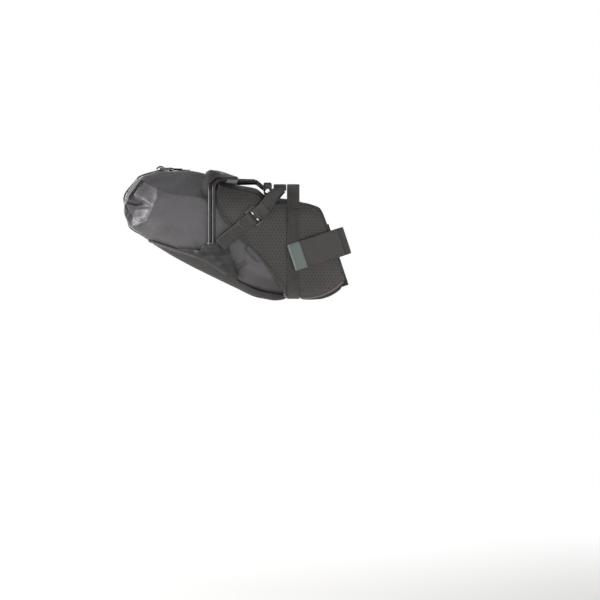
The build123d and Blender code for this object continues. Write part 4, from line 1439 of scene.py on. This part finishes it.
def sway_frame():
    """Tubes, feet, sleeves and rail clamps, and the flap over the hoop."""
    corners = ((-TUBE_Y, TUBE_FOOT), (-TUBE_Y, HOOP_TOP), (TUBE_Y, HOOP_TOP), (TUBE_Y, TUBE_FOOT))
    hoop = along(filleted([(HOOP_X, *corner) for corner in corners], HOOP_BEND), 3.0, bend=False)
    place(tube("sway_hoop_tube", hoop, TUBE_RADIUS), "sway_frame", "tube", ["sway_hoop"])
    corner, bend = arm_corner()
    route = [corner * (1, 1, 0) + (0, 0, TUBE_FOOT), corner, bend, np.array(BOLT) + (-3.0, 1.75, 2.4)]
    line = along(filleted(route, ARM_BEND, 1.0), 1.5, bend=False)
    arm = tube("sway_arm_tube", line, TUBE_RADIUS)
    place_pair(arm, "sway_arm_tube", "sway_frame", "tube", ["sway_arm"])
    for side in ("left", "right"):
        arm_eye(side)
        dressed("frame_foot_" + side, "sway_frame", "moulded", 0.5)
        for node in ("clamp_outer_", "clamp_inner_"):
            dressed(node + side, "harness", "alloy", 0.5)
        for node in ("clamp_bolt_", "clamp_nut_"):
            dressed(node + side, "bolt_" + side, "steel", 0.3)
    middle = corner + (bend - corner) * SLEEVE_PLACE
    half = np.linspace(-11.5, 11.5, 24)[:, None]
    sleeve = tube("arm_sleeve_cloth", middle + unit(bend - corner) * half, TUBE_RADIUS + 1.7, 28)
    place_pair(sleeve, "arm_sleeve_cloth", "sway_frame", "heather", ["arm_sleeve"])
    top_flap()


def arm_eye(side):
    """Flattened eye at the front end of an arm, round its clamp bolt."""
    sign = 1 if side == "left" else -1
    sides = 32
    turn = np.linspace(0, 2 * math.pi, sides + 1)[:-1]
    profile = ((2.6, -1.7), (6.0, -1.75), (6.5, -1.3), (6.5, 1.3), (6.0, 1.75), (2.6, 1.7))
    rings = [np.stack([r * np.cos(turn), np.full(sides, y), r * np.sin(turn)], -1) for r, y in profile]
    rings = (np.array(rings) + BOLT) * (1, sign, 1)
    last = (len(profile) - 1) * sides
    faces = grid_faces(len(profile), sides, closed=True)
    faces += [(last + j, last + (j + 1) % sides, (j + 1) % sides, j) for j in range(sides)]
    eye = crease(outward(piece("arm_eye_" + side, rings, faces, np.zeros((last + sides, 2)))), 30)
    place(eye, "sway_frame", "tube")


def top_flap():
    """Sheet of cloth over the hoop and its corners, down to the sleeves, where it is sewn round the arms."""
    x = np.concatenate([np.linspace(-256, -246, 9)[:-1], np.linspace(-246, -194, 28)])[:, None]
    middle = line_at(FLAP_MIDDLE, x)
    share = np.linspace(0, 1, 40)[None]
    over = TUBE_RADIUS + FLAP_GAP
    corner_y, corner_z, bend = TUBE_Y - HOOP_BEND, HOOP_TOP - HOOP_BEND, HOOP_BEND + over
    turn = np.arccos((line_at(FLAP_SIDE, x) - corner_z) / bend)
    flat = corner_y / (corner_y + bend * turn)
    angle = turn * (share - flat) / (1 - flat)
    hoop_y = np.where(share < flat, corner_y * share / flat, corner_y + bend * np.sin(angle))
    hoop_z = np.where(share < flat, corner_z + bend, corner_z + bend * np.cos(angle))
    hoop_z = hoop_z - 4.6 * ease(-x, 248, 257)

    arm, bend = ARM_X + 15.4, over + 1.8
    inwards = (TUBE_Y - ARM_BEND_POINT[1]) / (ARM_BEND_POINT[0] - ARM_X)
    reach = TUBE_Y - (np.maximum(x, arm) - ARM_X) * inwards
    turn = np.radians(15 + 62 * ease(x, -230, -218))
    flat = reach / (reach + bend * turn)
    angle = turn * (share - flat) / (1 - flat)
    level = ARM_LEVEL + bend
    arm_y = np.where(share < flat, reach * share / flat, reach + bend * np.sin(angle))
    sag = level + (middle - level) * (1 - np.minimum(share / flat, 1) ** 2.4)
    arm_z = np.where(share < flat, sag, ARM_LEVEL + bend * np.cos(angle))

    blend = ease(x, -246.5, -223)
    y = hoop_y * (1 - blend) + arm_y * blend
    z = hoop_z * (1 - blend) + arm_z * blend
    left = np.stack(np.broadcast_arrays(x, y, z), -1)
    grid = np.concatenate([left[:, :0:-1] * (1, -1, 1), left], 1)
    along_x, along_y = (unit(np.gradient(grid, axis=k)) for k in (0, 1))
    out = unit(np.cross(along_x, along_y))
    loose = ease(grid[..., 0], -243, -232) * (1 - ease(np.abs(grid[..., 1]), 60, 74))
    grid = grid + out * (0.9 * loose * (0.4 + ripple(grid * (0.7, 1, 1), 30.0, 5)))[..., None]
    sheet = shell("top_flap_cloth", grid + out * 0.6, grid - out * 0.6)
    place(sheet, "sway_frame", "packcloth", ["top_flap"])
    down, over = np.diff(grid, axis=0), np.diff(grid, axis=1)
    wide = float(np.linalg.norm(over, axis=-1).sum(1).max())
    long = float(np.linalg.norm(down, axis=-1).sum(0).max())
    area = float(np.linalg.norm(np.cross(down[:, 1:], over[1:]), axis=-1).sum())
    area = min(area, wide * long)
    for j in (2, 4, -3, -5):
        stitch((grid + out * 0.75)[1:-1, j], "sway_frame")
    for i in (2, -3):
        stitch((grid + out * 0.75)[i, 2:-2], "sway_frame")


# ---- dry bag -----------------------------------------------------------------------------------


def stuffed(obj, pressure, frames, hold, most):
    """Swells a piece with cloth simulation, held where hold is 1, and moving no point further than most."""
    group = obj.vertex_groups.new(name="Held")
    for i, weight in enumerate(hold):
        group.add([i], float(weight), "REPLACE")
    rest = np.array([v.co for v in obj.data.vertices])
    modifier = obj.modifiers.new("Swell", "CLOTH")
    settings = modifier.settings
    settings.quality = 5
    settings.use_pressure = True
    settings.uniform_pressure_force = pressure
    settings.vertex_group_mass = "Held"
    settings.mass = 0.3
    settings.tension_stiffness = settings.compression_stiffness = 12
    settings.bending_stiffness = 0.4
    settings.effector_weights.gravity = 0
    modifier.point_cache.frame_start, modifier.point_cache.frame_end = 1, frames
    scene = bpy.context.scene
    for frame in range(1, frames + 1):
        scene.frame_set(frame)
    mesh = evaluated(obj)
    obj.modifiers.clear()
    obj.vertex_groups.clear()
    scene.frame_set(1)
    moved = np.array([v.co for v in mesh.vertices]) - rest
    size = np.linalg.norm(moved, axis=1, keepdims=True)
    limit = np.asarray(most)[:, None] * MM
    moved *= np.where(size > 1e-9, limit * np.tanh(size / limit) / np.maximum(size, 1e-9), 1)
    obj.data.vertices.foreach_set("co", (rest + moved).ravel())
    obj.data.update()


def dry_bag():
    """Dry bag, swelled by its load, with the folds at its rolled end."""
    x = np.concatenate([np.linspace(-20, -240, 45), np.linspace(-244, -418, 60)])
    turn = np.linspace(0, 1, 60)
    inset = (3.6 - 2.8 * ease(-x, 236, 262))[:, None]
    left = around(DRY_BAG, x[:, None], turn[None], 0.0)
    out = facing(DRY_BAG, x[:, None], turn[None])
    left = left - out * inset[..., None] * (0, 1, 1)
    loop = np.concatenate([left, left[:, -2:0:-1] * (1, -1, 1)], 1)
    bag = outward(piece("dry_bag_cloth", loop, tube_faces(*loop.shape[:2])))
    changed(bag, "REMESH", mode="VOXEL", voxel_size=4.0 * MM)
    points = points_of(bag.data)
    cover = 1 - ease(-points[:, 0], 238, 262)
    hold = np.clip(0.55 * cover + ease(-points[:, 0], 404, 416), 0, 1)
    strap = 1 - ease(np.abs(points[:, 1]), 13, 34)
    most = 4.0 - 1.5 * cover - 2.2 * strap * (1 - cover)
    stuffed(bag, Parts.sizes.pressure, Parts.sizes.frames, hold, most)
    changed(bag, "SUBSURF", levels=1, render_levels=1)
    shape_dry_bag(bag.data)
    place(bag, "dry_bag", "dry_cloth", ["dry_bag"])


def settled(points, line, half, fade, sink, reach=20.0):
    """Points brought to sink below a side-view line over its half width, fading out beside and beyond it."""
    line = along(line, 1.5, bend=False)
    ahead, away = unit(np.gradient(line, axis=0)), beside(line)
    flat = points[:, (0, 2)]
    near = nearest(flat, line)
    offset = flat - line[near]
    beyond = np.abs((offset * ahead[near]).sum(-1))
    move = -sink - (offset * away[near]).sum(-1)
    wide = np.abs(points[:, 1])
    weight = np.where(move > 0, 1 - ease(wide, half, fade), 1 - ease(wide, half, half + 7))
    weight = weight * (1 - ease(np.abs(move), 0.5 * reach, reach)) * (1 - ease(beyond, 0.8, 14))
    moved = points.copy()
    moved[:, (0, 2)] += away[near] * (move * weight)[:, None]
    return moved


def nearest(points, line):
    """Index of the line's nearest point to each of many points, a block at a time."""
    blocks = np.array_split(points, max(1, len(points) // 4000))
    return np.concatenate([np.argmin(((block[:, None] - line[None]) ** 2).sum(-1), 1) for block in blocks])


def flattened_end(points):
    """Depth of the flattened rear end, with the hollow in its side and the low ridge along its edge."""
    x, _, z = points.T
    cap = line_at(CAP_EDGE, z) - x + 1.8 * ripple(points, 22.0, 44)
    behind = np.maximum(cap, 0)
    hollow = END_HOLLOW * between(z, 34, 46, 70, 78) * (1 - np.exp(-behind / 12))
    deep = (END_DEPTH * (1 - np.exp(-behind / 13)) + hollow) * (1 - 0.5 * ease(behind, 34, 60))
    return deep - END_RIDGE * np.exp(-((cap / 6.0) ** 2)) * between(z, 30, 40, 84, 110)


def side_pleat(points):
    """Depth of the pleat that runs forward from the roll along each side."""
    x, _, z = points.T
    fold = z - line_at(PLEAT, x)
    width = 4.0 + 3.5 * ease(-x, 362, 390) - 3.0 * ease(-x, 396, 418)
    slope = np.abs(fold / np.where(fold > 0, 0.8, 1.15) / width)
    return PLEAT_DEPTH * ease(-x, 358, 392) * np.exp(-slope**1.6)


def top_turn(points):
    """Depth by which the upper sides turn in under the top."""
    x, _, z = points.T
    above = np.maximum(z - line_at(TOP_FOLD, x), 0)
    return TOP_TURN_DEPTH * (1 - np.exp(-above / 20)) * between(-x, 232, 262, 380, 404)


def window_bulge(points):
    """Negative depth of the bulge between base, side panel and wing, with one diagonal crease in it."""
    x, _, z = points.T
    window = between(x, -214, -182, -130, -100) * between(z, -98, -66, -4, 28)
    crease_line = np.exp(-((((z + 44) - 0.66 * (x + 186)) / 5.0) ** 2)) * (1 - ease(x, -184, -168))
    return window * (WINDOW_CREASE * crease_line - WINDOW_BULGE)


def load_unevenness(points):
    """Depth of what the load leaves: room at the frame's feet, broad lumps and pulls beside the wings."""
    x, y, z = points.T
    feet = FOOT_ROOM * between(-x, 234, 244, 264, 282) * (1 - ease(z, 8, 40))
    lumps = (1.3 * ripple(points, 70.0, 21) + 0.3 * ripple(points, 30.0, 9)) * ease(-x, 240, 280)
    pulls = 0.6 * ripple(np.stack([x * 0.35, 0 * y, z + 0.25 * x], -1), 24.0, 31)
    return feet - lumps - pulls * between(-x, 236, 250, 262, 300)


def shape_dry_bag(mesh):
    """Creases and folds of the stuffed bag, and the places where the roll and the straps press it flat."""
    points = points_of(mesh)
    mesh.update()
    out = np.zeros(len(points) * 3)
    mesh.vertices.foreach_get("normal", out)
    out = out.reshape(-1, 3)
    side = ease(np.abs(out[:, 1]), 0.15, 0.6)
    parts = (flattened_end, side_pleat, top_turn, window_bulge, load_unevenness)
    points = points - out * (sum(part(points) for part in parts) * side)[:, None]
    bowed = 6.0 * np.minimum(np.abs(points[:, 1]) / ROLL_HALF, 1.0) ** 4
    points = settled(points, ROLL_FACE, 60.0, 78.0, 8.6 + bowed)
    points = settled(points, UNDER_STRAP, 12.5, 66.0, 0.7, 32.0)
    points = settled(points, DRY_UNDER, 12.5, 62.0, 0.0, 26.0)
    wide = np.abs(points[:, 1])
    over = np.maximum(wide - DRY_LIMIT, 0)
    points[:, 1] = np.sign(points[:, 1]) * (np.minimum(wide, DRY_LIMIT) + 3.0 * (1 - np.exp(-over / 3.0)))
    move_points(mesh, points)


def roll_axes():
    """Middle of the rolled closure, and its directions up along the rear face and out from it."""
    low, high = (np.array((x, 0.0, z)) for x, z in ROLL_FACE)
    up = unit(high - low)
    out = np.array((-up[2], 0.0, up[0]))
    return (low + high) / 2 - out * ROLL_SETBACK, up, out


def slackened(points):
    """Points of the roll given the slack of its free ends, which bow forward away from the strap."""
    middle, up, out = roll_axes()
    away = np.abs(points[:, 1]) / ROLL_HALF
    high = (points - middle) @ up
    loose = ease(away, 0.2, 0.5)
    lift = 1.3 * ripple(points * (1, 0.8, 1), 30.0, 17) * loose
    lift += 0.8 * loose * (1 - ease(away, 0.6, 1.0)) - 8.5 * away**4
    fan = 1.4 * ripple(points * (0, 1, 0.3), 24.0, 23) * loose - 0.09 * high * away**2
    return points + out * lift[:, None] + up * fan[:, None]


def closure_roll():
    """End of the dry bag, rolled round its stiffener strip and sewn near its ends."""
    middle, up, out = roll_axes()
    turns = np.linspace(0, 2 * math.pi * ROLL_TURNS, 290)
    grow = 3.5 * turns / turns[-1]
    a = (22.0 + grow) * np.sign(np.cos(turns)) * np.abs(np.cos(turns)) ** 0.75
    b = (0.6 + grow) * np.sign(np.sin(turns)) * np.abs(np.sin(turns)) ** 0.75
    path = middle + a[:, None] * up + b[:, None] * out
    bend = unit(np.gradient(path, axis=0))
    roll = ribbon("closure_roll_cloth", path, np.cross(bend, (0, 1, 0)), 2 * ROLL_HALF, 0.9, 56)
    move_points(roll.data, slackened(points_of(roll.data)))
    for start, end in ((15, 61), (-61, -15)):
        y = np.linspace(start, end, 40)[:, None]
        stitch(slackened(middle + up * 19.5 + out * 4.75 + y * (0, 1, 0)), "dry_bag")
    # The roll wears the dry-bag cloth with painted light: a lighter tint for the light that it catches
    place(roll, "dry_bag", "roll_cloth_painted_light", ["closure_roll"])
    inside = slackened(middle + np.linspace(-59.0, 59.0, 60)[:, None] * (0, 1, 0))
    strip = ribbon("closure_stiffener_strip", inside, out, 20.0, 1.0)
    place(strip, "dry_bag", "moulded", ["closure_stiffener"])


def closure():
    """Rolled closure, the strap over it, and its ladder buckle."""
    closure_roll()
    lock = Strap(LOCK_PIN, LOCK_FOOT, (0, 0, 1))
    anchor = lock.anchor("closure_anchor_webbing", 24.0)
    place(anchor, "dry_bag", "webbing", ["closure_anchor"])
    dressed("closure_buckle", "closure_buckle", "buckle", 0.5)
    tail = [(15.0, 4.8), (20.5, 5.2), (25.0, 2.6), (27.0, -0.4)]
    fold = lock.fold("closure_fold_webbing", [(22.2, -2.7), (12.5, -2.7), (12.5, 2.9)] + tail)
    place(fold, "closure_buckle", "webbing", ["closure_fold"])

    end = lock.world((22.6, -2.6, 0))
    flat = along(DRY_UNDER + ROLL_FACE, 2.0)
    flat = flat + beside(flat) * 0.9
    line = along(np.concatenate([flat, [(end[0], end[2])]]), 2.0)
    path, facing_out = np.insert(line, 1, 0.0, axis=1), np.insert(beside(line), 1, 0.0, axis=1)
    strap = ribbon("closure_strap_webbing", path, facing_out, WEBBING_WIDTH, WEBBING)
    place(strap, "dry_bag", "webbing", ["closure_strap"])


# ---- stage -------------------------------------------------------------------------------------


def area_light(name, spot, size, power):
    """Soft rectangular light that looks at the bag's middle."""
    light = bpy.data.lights.new(name, "AREA")
    light.shape = "RECTANGLE"
    light.size, light.size_y = size
    light.energy = power
    obj = linked(name, light)
    obj.location = spot
    obj.rotation_euler = (Vector(LIGHT_TARGET) - Vector(spot)).to_track_quat("-Z", "Y").to_euler()


def surroundings():
    """World that is white where it is seen or mirrored, and gives only a faint light of its own."""
    world = bpy.data.worlds.new("Surroundings")
    world.use_nodes = True
    tree = world.node_tree
    tree.nodes.clear()
    path = add(tree, "ShaderNodeLightPath")
    seen = path.outputs["Is Camera Ray"]
    for ray in ("Is Transmission Ray", "Is Glossy Ray"):
        seen = add(tree, "ShaderNodeMath", {0: seen, 1: path.outputs[ray]}, operation="MAXIMUM").outputs[0]
    light = add(tree, "ShaderNodeBackground", {"Color": (0.97, 0.98, 1.0, 1), "Strength": 0.12})
    white = add(tree, "ShaderNodeBackground", {"Color": (1, 1, 1, 1), "Strength": 1.0})
    mix = add(tree, "ShaderNodeMixShader", {0: seen, 1: light, 2: white})
    add(tree, "ShaderNodeOutputWorld", {0: mix})
    bpy.context.scene.world = world


def make_stage():
    """Pale floor that fades into white surroundings, soft lights and the camera."""
    bpy.context.scene.view_settings.view_transform = "Standard"
    half = 4.0 / MM
    corners = [(x * half, y * half, FLOOR_LEVEL) for x, y in ((-1, -1), (1, -1), (1, 1), (-1, 1))]
    floor = piece("floor", corners, [(0, 1, 2, 3)])
    floor.data.materials.append(Parts.materials["floor"])
    surroundings()
    for light in LIGHTS:
        area_light(*light)

    camera = bpy.data.cameras.new("camera")
    camera.sensor_width, camera.lens = 36.0, 141.0
    camera.clip_end = 50
    obj = linked("camera", camera)
    obj.location = (-0.07, -4.7, -0.112)
    obj.rotation_euler = (math.pi / 2, 0, 0)
    bpy.context.scene.camera = obj


# ---- add-on ------------------------------------------------------------------------------------


def length(label, about, value):
    """A length in metres, shown in scene units."""
    return bpy.props.FloatProperty(
        name=label, description=about, default=value, min=1e-5, unit="LENGTH", precision=5
    )


def colour(label, code):
    """A colour, given as a hex code and shown under its label."""
    about = "Colour of " + label.lower()
    return bpy.props.FloatVectorProperty(
        name=label, description=about, subtype="COLOR", size=3, min=0, max=1, default=linear(code)
    )


class SaddleBagSizes(bpy.types.PropertyGroup):
    """Sizes that the repeated details and the simulation take."""

    hole_pitch: length("Perforation pitch", "Between the middles of two pits in a row", 0.007)
    hole_radius: length("Perforation radius", "Radius of one pit", 0.0014)
    stitch_pitch: length("Stitch pitch", "From one stitch to the next", 0.0033)
    stitch_length: length("Stitch length", "Length of one stitch", 0.0024)
    thread: length("Thread", "Thickness of the sewing thread", 0.0006)
    pressure: bpy.props.FloatProperty(
        name="Load", description="Pressure that swells the dry bag", default=4.0, min=0
    )
    frames: bpy.props.IntProperty(
        name="Frames", description="Frames of cloth simulation", default=20, min=2, max=60
    )


class SaddleBagColours(bpy.types.PropertyGroup):
    """Colours of the cloths, webbing and fittings."""

    laminate: colour("Side panels", "#434140")
    packcloth: colour("Base and top cloth", "#2C2A29")
    dry_cloth: colour("Dry bag", "#403E40")
    wing: colour("Wing", "#272626")
    webbing: colour("Webbing", "#3B3938")
    binding: colour("Binding", "#393736")
    piping: colour("Chin piping", "#5A5754")
    strap_cloth: colour("Post strap", "#3E3B3A")
    tab: colour("Pull tab", "#626A68")
    heather: colour("Heather sleeve", "#605F63")
    label: colour("Label", "#3F3E41")
    foam: colour("Foam", "#222222")
    rubber: colour("Rubber", "#262525")
    buckle: colour("Plastic", "#2B2A2B")
    tube: colour("Black anodised metal", "#232223")
    steel: colour("Steel", "#B2B3B5")
    thread: colour("Thread", "#2A2929")
    accent: colour("Accent thread", "#9AA35A")
    # Colour of the perforation discs: painted shade of the pits over the darker backing
    hole: colour("Perforation", "#322F2E")
    floor: colour("Floor", "#E9E8E6")


def step(context, make):
    """Runs one building step with the panel's sizes and colours."""
    Parts.sizes = context.scene.saddle_bag_sizes
    Parts.colours = context.scene.saddle_bag_colours
    if not Parts.materials:
        Parts.materials = make_materials(Parts.colours)
    make()
    return {"FINISHED"}


class SADDLEBAG_OT_harness(bpy.types.Operator):
    """Builds the side, top and base panels, their bindings and the wings"""

    bl_idname = "saddlebag.harness"
    bl_label = "Harness"

    def execute(self, context):
        return step(context, harness)


class SADDLEBAG_OT_straps(bpy.types.Operator):
    """Builds the load straps, the girth strap and their loops and buckles"""

    bl_idname = "saddlebag.straps"
    bl_label = "Straps"

    def execute(self, context):
        return step(context, straps)


class SADDLEBAG_OT_post_fixing(bpy.types.Operator):
    """Builds the seat post strap, its flap, patches, pull tab, pad and grips"""

    bl_idname = "saddlebag.post_fixing"
    bl_label = "Seat post fixing"

    def execute(self, context):
        return step(context, post_fixing)


class SADDLEBAG_OT_sway_frame(bpy.types.Operator):
    """Builds the frame's tubes, sleeves, feet and clamps and the flap over the hoop"""

    bl_idname = "saddlebag.sway_frame"
    bl_label = "Sway frame"

    def execute(self, context):
        return step(context, sway_frame)


class SADDLEBAG_OT_dry_bag(bpy.types.Operator):
    """Builds the dry bag and swells it with cloth simulation"""

    bl_idname = "saddlebag.dry_bag"
    bl_label = "Dry bag"

    def execute(self, context):
        return step(context, dry_bag)


class SADDLEBAG_OT_closure(bpy.types.Operator):
    """Builds the rolled closure with its strap and buckle"""

    bl_idname = "saddlebag.closure"
    bl_label = "Closure"

    def execute(self, context):
        return step(context, closure)


class SADDLEBAG_OT_stitches(bpy.types.Operator):
    """Sews every noted line of stitches"""

    bl_idname = "saddlebag.stitches"
    bl_label = "Stitches"

    def execute(self, context):
        return step(context, sew)


class SADDLEBAG_OT_stage(bpy.types.Operator):
    """Builds the floor, the lights and the camera"""

    bl_idname = "saddlebag.stage"
    bl_label = "Stage"

    def execute(self, context):
        return step(context, make_stage)


OPERATORS = [
    SADDLEBAG_OT_harness,
    SADDLEBAG_OT_straps,
    SADDLEBAG_OT_post_fixing,
    SADDLEBAG_OT_sway_frame,
    SADDLEBAG_OT_dry_bag,
    SADDLEBAG_OT_closure,
    SADDLEBAG_OT_stitches,
    SADDLEBAG_OT_stage,
]


class SADDLEBAG_PT_panel(bpy.types.Panel):
    """Sidebar panel with the bag's sizes, colours and building steps"""

    bl_label = "Saddle bag"
    bl_idname = "SADDLEBAG_PT_panel"
    bl_space_type = "VIEW_3D"
    bl_region_type = "UI"
    bl_category = "Saddle bag"

    def draw(self, context):
        for group in (context.scene.saddle_bag_sizes, context.scene.saddle_bag_colours):
            box = self.layout.box()
            for name in group.__annotations__:
                box.prop(group, name)
        for operator in OPERATORS:
            self.layout.operator(operator.bl_idname)


CLASSES = [SaddleBagSizes, SaddleBagColours, *OPERATORS, SADDLEBAG_PT_panel]


def register():
    """Adds the classes to Blender, and the sizes and colours to its scenes."""
    for cls in CLASSES:
        bpy.utils.register_class(cls)
    bpy.types.Scene.saddle_bag_sizes = bpy.props.PointerProperty(type=SaddleBagSizes)
    bpy.types.Scene.saddle_bag_colours = bpy.props.PointerProperty(type=SaddleBagColours)


def unregister():
    """Takes away what register adds."""
    del bpy.types.Scene.saddle_bag_sizes
    del bpy.types.Scene.saddle_bag_colours
    for cls in reversed(CLASSES):
        bpy.utils.unregister_class(cls)


def main():
    """Builds the whole bag through its operators."""
    register()
    Parts.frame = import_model()
    for operator in OPERATORS:
        group, name = operator.bl_idname.split(".")
        getattr(getattr(bpy.ops, group), name)()
    bpy.context.view_layer.update()


if __name__ == "__main__":
    main()
